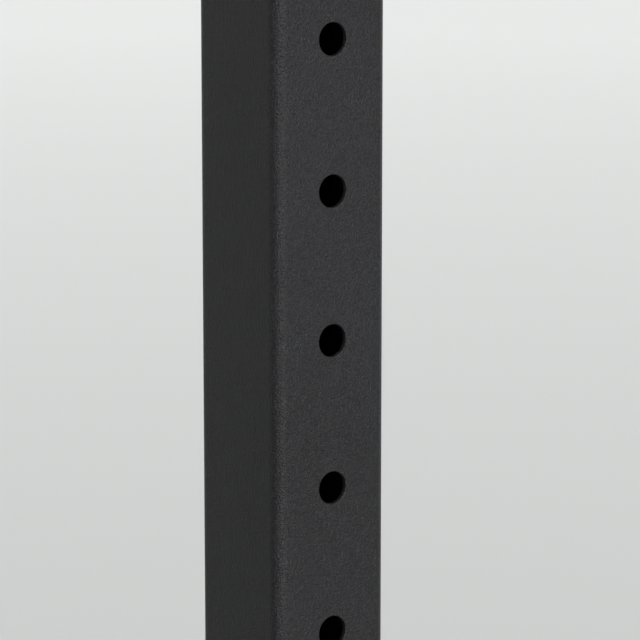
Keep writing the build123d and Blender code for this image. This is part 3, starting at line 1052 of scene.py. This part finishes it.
class CAGE_OT_joint_plates(bpy.types.Operator):
    """Adds the plates that join the uprights to the rails and the crossmembers"""

    bl_idname = "cage.joint_plates"
    bl_label = "Joint plates"

    def execute(self, context):
        edge = context.scene.cage_sizes.plate_edge
        base, roof, flange = base_plate(edge), roof_plate(edge), flange_plate(edge)
        outside = [plate_place(side, end, True) for side, end in CORNERS]
        inside_front = [plate_place(side, -1, False) for side in SIDES.values()]
        inside_rear = [plate_place(side, 1, False) for side in SIDES.values()]
        inside_mid = [plate_place(side, 1, False, CROSS_Z) for side in SIDES.values()]
        pegs = [plate_place(side, 1, True, z) for side in SIDES.values() for z in STORAGE_LEVELS.values()]
        sets = [
            ("corner_plates_base", base, outside + inside_front, "base_gusset_plates"),
            ("cross_plates_base", base, inside_rear, "rear_base_crossmember_plates"),
            ("corner_plates_roof", roof, outside, "top_gusset_plates"),
            ("cross_plates_roof", roof, inside_rear, "rear_top_crossmember_plates"),
            ("pull_up_plates", roof, inside_front, "pull_up_bar_plates"),
            ("cross_plates_mid", flange, inside_mid, "rear_mid_crossmember_plates"),
            ("plate_peg_flanges", flange, pegs, "storage_peg_flanges"),
        ]
        for name, original, places, node in sets:
            hand_over(spread(original, places, name), "powder_coat", node)
        remove(base, roof, flange)
        return {"FINISHED"}


# ---- bolts, washers and nuts -----------------------------------------------------------


def hex_bolt(length):
    """Hexagon bolt: the shank runs along -Z from the origin, and its tail has rings of thread."""

    def on_head(edge):
        """Whether an edge is a sharp one of the head."""
        away = all(math.hypot(v.co.x, v.co.y) > 1.2 * BOLT_R for v in edge.verts)
        return away and middle(edge).z > -1e-5 and edge.calc_face_angle(0) > math.radians(25)

    head = hexagon("bolt", HEX_FLATS, HEAD_T)
    depth, pitch, thread = 0.0006, 0.0015, 0.014
    core, start = BOLT_R - depth, -(length - thread)
    rings = [(BOLT_R, HEAD_T / 2), (BOLT_R, start)]
    for number in range(int(thread / pitch) - 1):
        root = start - pitch * (number + 0.5)
        rings += [(core, root), (BOLT_R, root - pitch / 2)]
    rings += [(core, -length + 0.0004), (core - depth, -length)]
    cut(head, [turned("shank", rings, vertices=20)], "UNION")
    round_corners(head, on_head, SOFT, segments=2)
    smooth(head, angle=35)
    return head


def flat_washer():
    """Flat washer, from the origin along +Z."""
    rings = [
        (WASHER_HOLE_R, SOFT), (WASHER_HOLE_R, WASHER_T - SOFT), (WASHER_HOLE_R + SOFT, WASHER_T),
        (WASHER_R - SOFT, WASHER_T), (WASHER_R, WASHER_T - SOFT), (WASHER_R, SOFT), (WASHER_R - SOFT, 0.0),
        (WASHER_HOLE_R + SOFT, 0.0),
    ]
    washer = turned("washer", rings, closed=True)
    smooth(washer, angle=35)
    return washer


def lock_nut():
    """Hexagon lock nut, from the origin along +Z, with its collar and nylon ring on top."""
    nut = hexagon("nut", HEX_FLATS, NUT_T - NUT_COLLAR, both_ends=True)
    round_edges(nut, SOFT, segments=2, angle=25)
    lip, seat_r, seat_depth = 0.0008, 0.0066, 0.0014
    collar = HEX_FLATS / 2 - lip
    rings = [
        (collar, NUT_T / 2), (collar, NUT_T - lip), (collar - 0.3 * lip, NUT_T - 0.3 * lip),
        (collar - lip, NUT_T),
    ]
    cut(nut, [turned("collar", rings, vertices=28)], "UNION")
    bore = rod(BOLT_R, 4 * NUT_T, vertices=20)
    seat = rod(seat_r, 2 * seat_depth, (0, 0, NUT_T), vertices=28)
    cut(nut, [bore, seat])
    smooth(nut, angle=35)
    nut.data.materials.append(finish("black_zinc"))
    top, low = NUT_T - 0.0004, NUT_T - seat_depth
    rings = [
        (BOLT_R, low), (BOLT_R, top - SOFT), (BOLT_R + SOFT, top), (seat_r - 0.0004, top),
        (seat_r, top - SOFT), (seat_r, low),
    ]
    ring = turned("lock_ring", rings, vertices=28, closed=True)
    smooth(ring, angle=35)
    ring.data.materials.append(finish("nylon"))
    return join([nut, ring], "nut")


def fasten(name, lines, draw):
    """Bolts, washers and nuts on lines of (side, y, z, head face, nut face)."""
    *_, head_face, nut_face = lines[0]
    length = head_face - nut_face + 2 * WASHER_T + NUT_T + BOLT_TAIL
    bolt, washer, nut = hex_bolt(length), flat_washer(), lock_nut()
    bolts, washers, nuts = [], [], []
    for side, y, z, head_face, nut_face in lines:
        outwards, inwards = turn(90 * side, "Y"), turn(-90 * side, "Y")
        on_head = shift(side * (head_face + WASHER_T), y, z)
        on_nut = shift(side * (nut_face - WASHER_T), y, z)
        bolts.append(on_head @ outwards @ turn(draw.uniform(0, 60), "Z"))
        washers += [shift(side * head_face, y, z) @ outwards, on_nut @ outwards]
        nuts.append(on_nut @ inwards @ turn(draw.uniform(0, 60), "Z"))
    for shape, kind, original, places in (
        ("hex", "bolts", bolt, bolts), ("flat", "washers", washer, washers), ("hex", "nuts", nut, nuts),
    ):
        hand_over(put(original, places, f"{name}_{shape}_{kind}"), "black_zinc", f"{name}_{kind}")


class CAGE_OT_fasteners(bpy.types.Operator):
    """Adds the bolts, washers and lock nuts"""

    bl_idname = "cage.fasteners"
    bl_label = "Fasteners"

    def execute(self, context):
        draw = random.Random(7)
        corner, outer, inner = [], OUTER_FACE + PLATE, INNER_FACE - PLATE
        for side, end in CORNERS:
            for along_rail, up in BASE_BOLTS:
                corner.append((side, end * (POST_Y - along_rail), RAIL_Z + up, outer, inner))
            for inwards, down in ROOF_BOLTS:
                corner.append((side, end * (POST_Y - inwards), ROOF_Z - down, outer, inner))
        fasten("corner", corner, draw)
        flange = []
        for side in SIDES.values():
            for way in (-1, 1):
                flange.append((side, POST_Y, CROSS_Z + way * FLANGE_BOLT, OUTER_FACE, inner))
                for z in STORAGE_LEVELS.values():
                    flange.append((side, POST_Y, z + way * FLANGE_BOLT, outer, INNER_FACE))
        fasten("flange", flange, draw)
        return {"FINISHED"}


# ---- pull-up bar, feet, plugs and plate pegs -------------------------------------------


class CAGE_OT_pull_up_bar(bpy.types.Operator):
    """Adds the pull-up bar, its welds and its two ribbed rubber grips"""

    bl_idname = "cage.pull_up_bar"
    bl_label = "Pull-up bar"

    def execute(self, context):
        sizes = context.scene.cage_sizes
        low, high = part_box("pull_up_bar")
        radius, wall = (high.z - low.z) / 2, 0.0025
        rings = [(radius - wall, low.x), (radius - wall, high.x), (radius, high.x), (radius, low.x)]
        bar = turned("pull_up_tube", rings, vertices=48, closed=True)
        smooth(bar, angle=35)
        bar.data.transform(shift(0, -POST_Y, ROOF_Z) @ turn(90, "Y"))
        hand_over(bar, "powder_coat", "pull_up_bar")
        paths = [lambda x, y, z: round_path(x, y, z, radius + BEAD_OUT * sizes.weld)]
        beads = weld_tube_ends("pull_up_tube_welds", -POST_Y, ROOF_Z, sizes.weld, paths, closed=True)
        hand_over(beads, "coated_weld")

        low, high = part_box("pull_up_grips")
        outer, reach, length = (high.z - low.z) / 2, high.x, 0.300
        flange, groove, rib_pitch, lip = 0.012, 0.0011, 0.006, 0.0012
        ribs = int((length - 2 * flange) / rib_pitch)
        start = (length - ribs * rib_pitch) / 2
        rings = [(radius, 0.0), (radius, length)] + arc_rings(outer - lip, length - lip, lip, 90, 0, 3)
        for rib in reversed(range(ribs)):
            z = start + rib * rib_pitch
            rings += [
                (outer, z + 0.82 * rib_pitch), (outer - groove, z + 0.66 * rib_pitch),
                (outer - groove, z + 0.34 * rib_pitch), (outer, z + 0.18 * rib_pitch),
            ]
        rings += arc_rings(outer - lip, lip, lip, 0, -90, 3)
        grip = turned("grip", rings, vertices=48, closed=True)
        smooth(grip, angle=50)
        places = [shift(x, -POST_Y, ROOF_Z) @ turn(90, "Y") for x in (-reach, reach - length)]
        hand_over(put(grip, places, "pull_up_grip_sleeves"), "black_rubber", "pull_up_grips")
        return {"FINISHED"}


def boot():
    """Rubber boot over the front end of a floor rail, with its middle at X = 0."""
    low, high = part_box("foot_caps")
    half, depth, end, reach = 0.028, 0.042, low.y, 0.038
    mouth, side_wall, sole = end + depth, 0.003, 0.005
    piece = block("boot", (-half, end, low.z), (half, mouth, high.z))
    round_corners(piece, lambda e: along(e, 1), 0.005)
    edit(piece)
    pick("FACE", lambda f: f.normal.y > 0.9)
    bpy.ops.mesh.inset(thickness=side_wall)
    pocket_low = low.z + side_wall
    pick("VERT", lambda v: near(v.co.y, mouth) and near(v.co.z, pocket_low))
    bpy.ops.transform.translate(value=(0, 0, sole - side_wall))
    pick("FACE", lambda f: f.normal.y > 0.9 and len(f.verts) > 4)
    extrude_faces(y=-reach)
    done()
    face_outwards(piece)
    round_edges(piece, 0.0010, segments=3, angle=35)
    edit(piece)
    pick("FACE", lambda f: f.normal.y < -0.99 and len(f.verts) > 4)
    sink_face(0.0026, 0.0008, (0, 0.0008, 0))
    done()
    smooth(piece, angle=40)
    return piece


def rail_pad():
    """Flat rubber pad under an upright, with its corners rounded and a ribbed edge."""
    low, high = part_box("base_pads")
    half, reach = HALF_TUBE, high.y - POST_Y
    piece = block("rail_pad", (-half, -reach, low.z), (half, reach, high.z))
    round_corners(piece, lambda e: along(e, 2), 0.008)
    edit(piece)
    pick("FACE", lambda f: f.normal.z < -0.9)
    sink_face(0.004, 0.001, (0, 0, 0.001))
    done()
    round_edges(piece, 0.0007, segments=3, angle=35)
    smooth(piece, angle=40)
    return piece


def square_plug():
    """Plug for a square tube: its flange stands from the origin along +Z, with the insert below."""
    flange, depth, tube_wall = 0.003, 0.014, 0.00225
    piece = block("plug", (-HALF_TUBE, -HALF_TUBE, 0.0), (HALF_TUBE, HALF_TUBE, flange))
    round_corners(piece, lambda e: along(e, 2), CORNER)
    edit(piece)
    pick("FACE", lambda f: f.normal.z < -0.9)
    bpy.ops.mesh.inset(thickness=tube_wall)
    extrude_faces(z=-depth)
    pick("FACE", lambda f: f.normal.z > 0.9)
    sink_face(0.0022, 0.0007, (0, 0, -0.0005))
    done()
    round_edges(piece, 0.0006, segments=3, angle=35)
    smooth(piece, angle=40)
    return piece


class CAGE_OT_feet_and_plugs(bpy.types.Operator):
    """Adds the rubber boots and pads under the cage, and the plugs of the roof rails"""

    bl_idname = "cage.feet_and_plugs"
    bl_label = "Feet and plugs"

    def execute(self, context):
        ways = {-1: Matrix(), 1: turn(180, "Z")}
        boots = [shift(side * POST_X) @ ways[end] for side, end in CORNERS]
        hand_over(put(boot(), boots, "rail_boots"), "black_rubber", "foot_caps")
        pads = [shift(side * POST_X, end * POST_Y) for side, end in CORNERS]
        hand_over(put(rail_pad(), pads, "rail_pads"), "black_rubber", "base_pads")
        plugs = [
            shift(side * POST_X, end * ROOF_HIGH.y, ROOF_Z) @ turn(-90 * end, "X") for side, end in CORNERS
        ]
        hand_over(put(square_plug(), plugs, "roof_rail_plugs"), "plug_plastic", "top_rail_end_caps")
        return {"FINISHED"}


class CAGE_OT_plate_pegs(bpy.types.Operator):
    """Adds the four pegs for weight plates, with their rubber rings and end caps"""

    bl_idname = "cage.plate_pegs"
    bl_label = "Plate pegs"

    def execute(self, context):
        root = OUTER_FACE + PLATE
        length, inside = STORAGE_LENGTH - STORAGE_CAP_T, STORAGE_R - STORAGE_WALL
        seat = STORAGE_R - 0.0004
        rings = [
            (inside, 0.0), (inside, length), (STORAGE_R, length), (STORAGE_R, BUMPER_T), (seat, BUMPER_T),
            (seat, 0.0),
        ]
        tube = turned("plate_peg", rings, vertices=56, closed=True)
        smooth(tube, angle=35)
        soft, back, groove_floor = 0.003, 0.0005, BUMPER_T - 0.0010
        rings = [(seat, BUMPER_T), (seat, 0.0), (BUMPER_R - back, 0.0), (BUMPER_R, back)]
        rings += arc_rings(BUMPER_R - soft, BUMPER_T - soft, soft, 0, 90, 5)
        rings += [(0.0300, BUMPER_T), (0.0294, groove_floor), (0.0282, groove_floor), (0.0276, BUMPER_T)]
        bumper = turned("bumper", rings, vertices=56, closed=True)
        smooth(bumper, angle=40)
        rim, insert_r, insert_depth, dish_floor = 0.0015, inside - 0.0001, 0.014, STORAGE_CAP_T - 0.0006
        rings = [
            (insert_r, -insert_depth), (insert_r, 0.0), (STORAGE_R, 0.0), (STORAGE_R, STORAGE_CAP_T - rim),
        ]
        rings += arc_rings(STORAGE_R - rim, STORAGE_CAP_T - rim, rim, 22.5, 90, 3)
        rings += [(0.0190, STORAGE_CAP_T), (0.0184, dish_floor), (0.0020, dish_floor)]
        cap = turned("peg_cap", rings, vertices=56)
        smooth(cap, angle=40)
        roots, tips = [], []
        for side_name, side in SIDES.items():
            for level, z in STORAGE_LEVELS.items():
                outwards = turn(90 * side, "Y")
                place = shift(side * root, POST_Y, z) @ outwards
                roots.append(place)
                tips.append(shift(side * (root + length), POST_Y, z) @ outwards)
                copy = copy_to(tube, place, f"plate_peg_{side_name}_{level}")
                hand_over(copy, "worn_coat", f"storage_peg_{side_name}_{level}")
        remove(tube)
        hand_over(put(bumper, roots, "plate_peg_rings"), "black_rubber", "storage_peg_bumpers")
        hand_over(put(cap, tips, "plate_peg_caps"), "plug_plastic", "storage_peg_end_caps")
        return {"FINISHED"}


# ---- J-hooks ---------------------------------------------------------------------------

HOOK_PLATE, LINER_T = 0.006, 0.006
HOOK_REACH = -FRONT_FACE - HOOK_LOW.y
SHELF = HOOK_LOW.z + HOOK_PLATE
LIP_TOP = SHELF + 0.038
HOOK_PEGS = (FIRST_HOLE + 14 * HOLE_PITCH, FIRST_HOLE + 16 * HOLE_PITCH)
PEG_PAST = 0.008  # how far a loose peg stands out of the far wall
SCREW_R, SCREW_SINK = 0.0045, 0.0026
HOOK_SCREWS = (HOOK_LOW.z + 0.062, HOOK_LOW.z + 0.122)


def hook_bracket(edge):
    """Bent plate with a shelf and a lip, and two guides that run beside the upright."""
    reach, back = HOOK_REACH, HOOK_PLATE
    corners = [
        (0, HOOK_HIGH.z), (0, HOOK_LOW.z), (-reach, HOOK_LOW.z), (-reach, LIP_TOP), (back - reach, LIP_TOP),
        (back - reach, SHELF), (-back, SHELF), (-back, HOOK_HIGH.z),
    ]
    half = (HOOK_HIGH.x - HOOK_LOW.x) / 2

    def at_top(edge):
        """Whether an edge is a corner at the top of the back or of the lip."""
        x, _, z = middle(edge)
        return along(edge, 1) and near(abs(x), half) and (near(z, HOOK_HIGH.z) or near(z, LIP_TOP))

    piece = bent_strip("hook", corners, 2 * half, [(0.010, (1, 2)), (0.004, (5, 6))])
    round_corners(piece, at_top, 0.008)
    low, high = HOOK_PEGS[0] + 0.015, HOOK_PEGS[1] + 0.010
    thick, gap, guide_reach = 0.004, 0.0006, 0.026
    for side in (-1, 1):
        near_x, far_x = sorted((side * (HALF_TUBE + gap), side * (HALF_TUBE + gap + thick)))
        guide = block("guide", (near_x, -back / 2, low), (far_x, guide_reach, high))
        round_corners(guide, lambda e: along(e, 0) and near(middle(e).y, guide_reach), 0.008)
        cut(piece, [guide], "UNION")
    round_edges(piece, edge)
    smooth(piece, angle=40)
    return piece


def hook_liner():
    """Plastic liner of the cup, with its two countersinks."""
    back, front, thick = HOOK_PLATE, HOOK_REACH - HOOK_PLATE, LINER_T
    top, lip = HOOK_HIGH.z - 0.018, LIP_TOP - 0.004
    corners = [
        (-back, top), (-back, SHELF), (-front, SHELF), (-front, lip), (thick - front, lip),
        (thick - front, SHELF + thick), (-back - thick, SHELF + thick), (-back - thick, top),
    ]
    half = 0.028
    piece = bent_strip("liner", corners, 2 * half, [(0.004, (1, 2)), (0.009, (5, 6))])
    round_corners(
        piece, lambda e: along(e, 1) and near(abs(middle(e).x), half) and near(middle(e).z, top), 0.008
    )
    cut(piece, [rod(SCREW_R, 2 * SCREW_SINK, (0, -back - thick, z), "Y") for z in HOOK_SCREWS])
    round_edges(piece, 0.0007, segments=3, angle=35)
    smooth(piece, angle=40)
    return piece


def sunk_screw():
    """Head of a countersunk screw with a hexagon socket, from the origin along +Z."""
    play, socket_r, socket_depth = 0.0002, 0.0023, 0.0016
    radius, top = SCREW_R - play, SCREW_SINK - play
    piece = turned("screw", [(radius - 0.0008, 0.0), (radius, top - SOFT), (radius - SOFT, top)])
    cut(piece, [rod(socket_r, 2 * socket_depth, (0, 0, top), vertices=6)])
    smooth(piece, angle=35)
    return piece


def loose_peg(length):
    """Peg that goes into an adjustment hole, along +Z from the origin, with a lead-in."""
    lead, soft = 0.002, 0.0004
    rings = [
        (LOOSE_PEG_R, 0.0), (LOOSE_PEG_R, length - lead - soft), (LOOSE_PEG_R - 0.3 * soft, length - lead),
        (LOOSE_PEG_R - lead + 0.3 * soft, length - 0.5 * soft), (LOOSE_PEG_R - lead - soft, length),
    ]
    peg = turned("loose_peg", rings)
    smooth(peg, angle=30)
    return peg


class CAGE_OT_j_hooks(bpy.types.Operator):
    """Adds the two J-hooks with their liners, screws and pegs"""

    bl_idname = "cage.j_hooks"
    bl_label = "J-hooks"

    def execute(self, context):
        edge = context.scene.cage_sizes.plate_edge
        bracket, liner, screw = hook_bracket(edge), hook_liner(), sunk_screw()
        peg = loose_peg(TUBE + PEG_PAST)
        back, forwards = turn(-90, "X"), turn(90, "X")
        screw_y = -HOOK_PLATE - LINER_T + SCREW_SINK
        screws = put(screw, [shift(0, screw_y, z) @ forwards for z in HOOK_SCREWS], "screws")
        pegs = put(peg, [shift(z=z) @ back for z in HOOK_PEGS], "pegs")
        for side_name, side in SIDES.items():
            body, place = f"j_hook_{side_name}", shift(side * POST_X, -FRONT_FACE)
            for original, name, look, node in (
                (bracket, "hook_plate", "powder_coat", "bracket"),
                (liner, "hook_liner", "liner_plastic", "liner"),
                (screws, "hook_screws", "black_zinc", "screws"),
                (pegs, "hook_pegs", "bright_zinc", "pegs"),
            ):
                hand_over(copy_to(original, place, f"{name}_{side_name}"), look, f"{body}_{node}", body=body)
        remove(bracket, liner, screws, pegs)
        return {"FINISHED"}


# ---- safety bars -----------------------------------------------------------------------

SADDLE_FLOOR = SAFETY_LOW.z
CHEEK_T, CHEEK_HIGH, CHEEK_REACH = 0.005, 0.042, 0.062
SADDLE_HALF = 0.031
SADDLE_PEGS = (FIRST_HOLE + 7 * HOLE_PITCH, FIRST_HOLE + 9 * HOLE_PITCH)
STRIP_SCREWS = (-0.46, -0.16, 0.16, 0.46)  # shares of the wear strip's length


def saddle(edge, weld):
    """Pocket for the end of a safety bar, from the upright's face at Y = 0 along +Y."""
    low, top, inside = SADDLE_FLOOR - CHEEK_T, SADDLE_FLOOR + CHEEK_HIGH, SADDLE_HALF - CHEEK_T
    half, reach = SADDLE_HALF, CHEEK_REACH
    back = [(-half, SADDLE_LOW.z), (half, SADDLE_LOW.z), (half, SADDLE_HIGH.z), (-half, SADDLE_HIGH.z)]
    piece = thick_shape("saddle", back, PLATE, 0.008)
    channel = [
        (-half, top), (-half, low), (half, low), (half, top), (inside, top), (inside, SADDLE_FLOOR),
        (-inside, SADDLE_FLOOR), (-inside, top),
    ]
    cup = bent_strip("cup", channel, reach + PLATE / 2, [(0.008, (1, 2)), (0.003, (5, 6))])
    cup.data.transform(shift((reach + PLATE / 2) / 2 + PLATE / 2))
    far = reach + PLATE
    round_corners(cup, lambda e: along(e, 1) and near(middle(e).x, far) and near(middle(e).z, top), 0.014)
    cut(piece, [cup], "UNION")
    rib_low = SADDLE_LOW.z + 0.008
    rib_far, rib_top = far - 0.008, low + CHEEK_T / 2
    corners = [
        (PLATE / 2, rib_low), (PLATE, rib_low), (rib_far, low), (rib_far, rib_top), (PLATE / 2, rib_top),
    ]
    rib = thick_shape("rib", corners, CHEEK_T)
    rib.data.transform(shift(-CHEEK_T / 2))
    rib.data.transform(turn(-90, "Z"))
    cut(piece, [rib], "UNION")
    round_edges(piece, edge)
    smooth(piece, angle=40)
    piece.data.materials.append(finish("powder_coat"))
    beside = 0.003  # from the rib's middle to the weld on either side of it
    lines = [
        ((PLATE, beside, rib_low), (PLATE, beside, low - 0.002)),
        ((PLATE, 0.005, low), (PLATE, 0.023, low)),
        ((PLATE + 0.004, beside, low), (far - 0.014, beside, low)),
    ]
    beads = []
    for start, end in lines:
        for mirror in (Vector((1, -1, 1)), Vector((1, 1, 1))):
            path = straight_path(mirror * Vector(start), mirror * Vector(end))
            bead = weld_bead("bead", path, weld, closed=False)
            bead.data.materials.append(finish("coated_weld"))
            beads.append(bead)
    piece = join([piece] + beads, "saddle")
    piece.data.transform(turn(90, "Z"))
    return piece


class CAGE_OT_saddles(bpy.types.Operator):
    """Adds the four saddles that hold the safety bars, and their pegs"""

    bl_idname = "cage.saddles"
    bl_label = "Saddles"

    def execute(self, context):
        sizes = context.scene.cage_sizes
        original = saddle(sizes.plate_edge, sizes.weld * 0.8)
        pegs = []
        for side_name, side in SIDES.items():
            for end_name, end in ENDS.items():
                place = shift(side * POST_X, end * FACING) @ (turn(180, "Z") if end > 0 else Matrix())
                copy = copy_to(original, place, f"saddle_{end_name}_{side_name}")
                hand_over(copy, "powder_coat", f"safety_saddle_{end_name}_{side_name}")
                pegs += [place @ shift(z=z) @ turn(90, "X") for z in SADDLE_PEGS]
        remove(original)
        peg = loose_peg(TUBE + PEG_PAST)
        hand_over(put(peg, pegs, "saddle_pegs"), "bright_zinc", "safety_saddle_pegs")
        return {"FINISHED"}


def wear_strip():
    """Plastic strip along the top of a safety bar, with its screw holes."""
    low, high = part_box("safety_bar_right_strip")
    half_x, half_y, thick = (high.x - low.x) / 2, high.y, high.z - low.z
    piece = block("wear_strip", (-half_x, -half_y, 0), (half_x, half_y, thick))
    edit(piece)
    pick("EDGE", lambda e: near(middle(e).z, thick))
    bpy.ops.mesh.bevel(offset=0.002, segments=3, affect="EDGES")
    done()
    cut(piece, [rod(SCREW_R, 2 * SCREW_SINK, (0, 2 * half_y * share, thick)) for share in STRIP_SCREWS])
    round_edges(piece, 0.0004, segments=2, angle=35)
    smooth(piece, angle=40)
    return piece


class CAGE_OT_safety_bars(bpy.types.Operator):
    """Adds the two safety bars with their wear strips, screws and plugs"""

    bl_idname = "cage.safety_bars"
    bl_label = "Safety bars"

    def execute(self, context):
        low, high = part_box("safety_bar_right_strip")
        length = SAFETY_HIGH.y - SAFETY_LOW.y
        tube = plain_tube("safety_tube", length, context.scene.cage_sizes.wall)
        tube.data.transform(shift(0, length / 2, SADDLE_FLOOR + HALF_TUBE) @ turn(90, "X"))
        strip = wear_strip()
        strip.data.transform(shift(z=low.z))
        screw_z = high.z - SCREW_SINK + 0.0001
        places = [shift(0, (high.y - low.y) * share, screw_z) for share in STRIP_SCREWS]
        screws = put(sunk_screw(), places, "screws")
        places = [
            shift(0, end * length / 2, SADDLE_FLOOR + HALF_TUBE) @ turn(-90 * end, "X")
            for end in ENDS.values()
        ]
        plugs = put(square_plug(), places, "plugs")
        for side_name, side in SIDES.items():
            body = f"safety_bar_{side_name}"
            for original, name, look, node in (
                (tube, "safety_tube", "powder_coat", body),
                (strip, "wear_strip", "liner_plastic", f"{body}_strip"),
                (screws, "wear_strip_screws", "black_zinc", f"{body}_screws"),
                (plugs, "safety_tube_plugs", "plug_plastic", f"{body}_end_caps"),
            ):
                copy = copy_to(original, shift(side * POST_X), f"{name}_{side_name}")
                hand_over(copy, look, node, body=body)
        remove(tube, strip, screws, plugs)
        return {"FINISHED"}


# ---- the studio ------------------------------------------------------------------------

CAMERA_AIM = Vector((POST_X - 0.0058, -FRONT_FACE, 1.3284))
CAMERA_PLACE = Vector((-0.1488, -1.5026, 1.5768))
FLOOR_REACH = 120.0  # far enough to fill the view from any side
SKY = 0.28  # strength of the light that comes from all round
HORIZON = 1.28  # brightness of the surroundings beside the floor's own colour, as the camera sees them
DIM_FROM = 0.45  # how squarely a direction has to face the dim side before the light fades
DIM_SIDE = (-0.98, 0.1, -0.1)  # towards the side that is darkest
DIM_SHARE = 0.3  # how much light comes from there
WINDOWS = [
    # name, direction towards it, power, and how many degrees it spans
    ("high_window", (-0.24, -1.0, 2.1), 2.0, 40.0),
    ("roof_window", (0.1, 0.3, 2.0), 0.5, 70.0),
    ("front_window", (-0.32, -0.95, 0.11), 4.4, 10.0),
    ("front_right_window", (0.585, -0.786, 0.05), 1.35, 25.0),
    ("rear_left_window", (-0.6, 0.78, 0.05), 0.68, 25.0),
    ("right_window", (1.0, 0.35, 0.2), 0.5, 30.0),
    ("rear_right_window", (0.3, 1.0, 0.2), 1.0, 35.0),
]


def pale_floor(choice):
    """Plain pale floor, painted darker under the cage than far away: painted shade that fades out 12 m from
    the middle.
    """
    paint = Paint("pale_floor")
    flat = paint.node(
        "ShaderNodeVectorMath", {"operation": "MULTIPLY"}, {0: paint.place, 1: (1.0, 1.0, 0.0)}
    )
    away = paint.node("ShaderNodeVectorMath", {"operation": "LENGTH"}, {0: flat}, output="Value")
    cloud = paint.noise(1.5, detail=2.0)
    # painted shade: two thirds as bright within a metre of the middle, full colour from 12 m
    colour = paint.mix(paint.ramp(away, 1.0, 12.0), shade(choice.floor, 0.66), shade(choice.floor, 1.0))
    return paint.surface(colour, 0.9 + cloud * 0.05, Specular_IOR_Level=0.2)


def window(name, towards, power, spread):
    """Soft light from a broad window a long way off."""
    deselect_all()
    bpy.ops.object.light_add(type="SUN", location=(0, 0, 4))
    light = bpy.context.active_object
    light.name = light.data.name = name
    light.rotation_euler = (-Vector(towards)).to_track_quat("-Z", "Y").to_euler()
    light.data.energy = power
    light.data.angle = math.radians(spread)


def surround(scene, choice):
    """Pale surroundings that look like the far floor, and light the cage a little less from one side."""
    scene.world = bpy.data.worlds.new("surroundings")
    sky = Nodes(scene.world)
    way = sky.node("ShaderNodeTexCoord", output="Generated")
    dot = {"operation": "DOT_PRODUCT"}
    side = sky.node("ShaderNodeVectorMath", dot, {0: way, 1: DIM_SIDE}, output="Value")
    fade = sky.node(
        "ShaderNodeMapRange", {"interpolation_type": "SMOOTHSTEP"},
        {"Value": side, "From Min": DIM_FROM, "From Max": 1.0, "To Min": 1.0, "To Max": DIM_SHARE},
    )
    lighting = sky.node("ShaderNodeBackground", {}, {"Color": fade, "Strength": SKY * choice.light})
    seen = sky.node("ShaderNodeBackground", {}, {"Color": shade(choice.floor, HORIZON * choice.light)})
    for_camera = sky.node("ShaderNodeLightPath", output="Is Camera Ray")
    mixed = sky.node("ShaderNodeMixShader", {}, {0: for_camera, 1: lighting, 2: seen})
    sky.node("ShaderNodeOutputWorld", {}, {"Surface": mixed})


class CAGE_OT_stage(bpy.types.Operator):
    """Adds the floor, the lights, the surroundings and the camera"""

    bl_idname = "cage.stage"
    bl_label = "Stage"

    def execute(self, context):
        studio = context.scene.cage_studio
        floor = add(
            "floor", bpy.ops.mesh.primitive_circle_add, vertices=64, radius=FLOOR_REACH, fill_type="NGON"
        )
        floor.data.materials.append(pale_floor(studio))

        surround(context.scene, studio)
        for name, towards, power, spread in WINDOWS:
            window(name, towards, power * studio.light, spread)

        deselect_all()
        bpy.ops.object.camera_add(location=CAMERA_PLACE)
        camera = context.active_object
        camera.rotation_euler = (CAMERA_AIM - CAMERA_PLACE).to_track_quat("-Z", "Y").to_euler()
        camera.data.lens = studio.lens
        camera.data.clip_start, camera.data.clip_end = 0.05, 2 * FLOOR_REACH
        context.scene.camera = camera
        context.scene.view_settings.view_transform = "Standard"
        return {"FINISHED"}


# ---- the panel, and making everything --------------------------------------------------

STEPS = [
    CAGE_OT_stage, CAGE_OT_uprights, CAGE_OT_rails, CAGE_OT_crossmembers, CAGE_OT_joint_plates,
    CAGE_OT_fasteners, CAGE_OT_pull_up_bar, CAGE_OT_feet_and_plugs, CAGE_OT_plate_pegs, CAGE_OT_j_hooks,
    CAGE_OT_saddles, CAGE_OT_safety_bars,
]


class CAGE_PT_panel(bpy.types.Panel):
    """The cage's pieces, in the order in which they are made"""

    bl_idname = "CAGE_PT_panel"
    bl_label = "Power Cage"
    bl_space_type = "VIEW_3D"
    bl_region_type = "UI"
    bl_category = "Power Cage"

    def draw(self, context):
        for group in (context.scene.cage_sizes, context.scene.cage_finish, context.scene.cage_studio):
            box = self.layout.box()
            for name in group.__annotations__:
                box.prop(group, name)
        for step in STEPS:
            self.layout.operator(step.bl_idname)


GROUPS = {"cage_sizes": CageSizes, "cage_finish": CageFinish, "cage_studio": CageStudio}


def register():
    """Registers the properties, the operators and the panel."""
    for name, group in GROUPS.items():
        bpy.utils.register_class(group)
        setattr(bpy.types.Scene, name, bpy.props.PointerProperty(type=group))
    for cls in STEPS + [CAGE_PT_panel]:
        bpy.utils.register_class(cls)


def unregister():
    """Takes them away again."""
    for cls in reversed(STEPS + [CAGE_PT_panel]):
        bpy.utils.unregister_class(cls)
    for name, group in GROUPS.items():
        delattr(bpy.types.Scene, name)
        bpy.utils.unregister_class(group)


def main():
    """Makes every piece."""
    register()
    for step in STEPS:
        group, name = step.bl_idname.split(".")
        getattr(getattr(bpy.ops, group), name)()


if __name__ == "__main__":
    main()
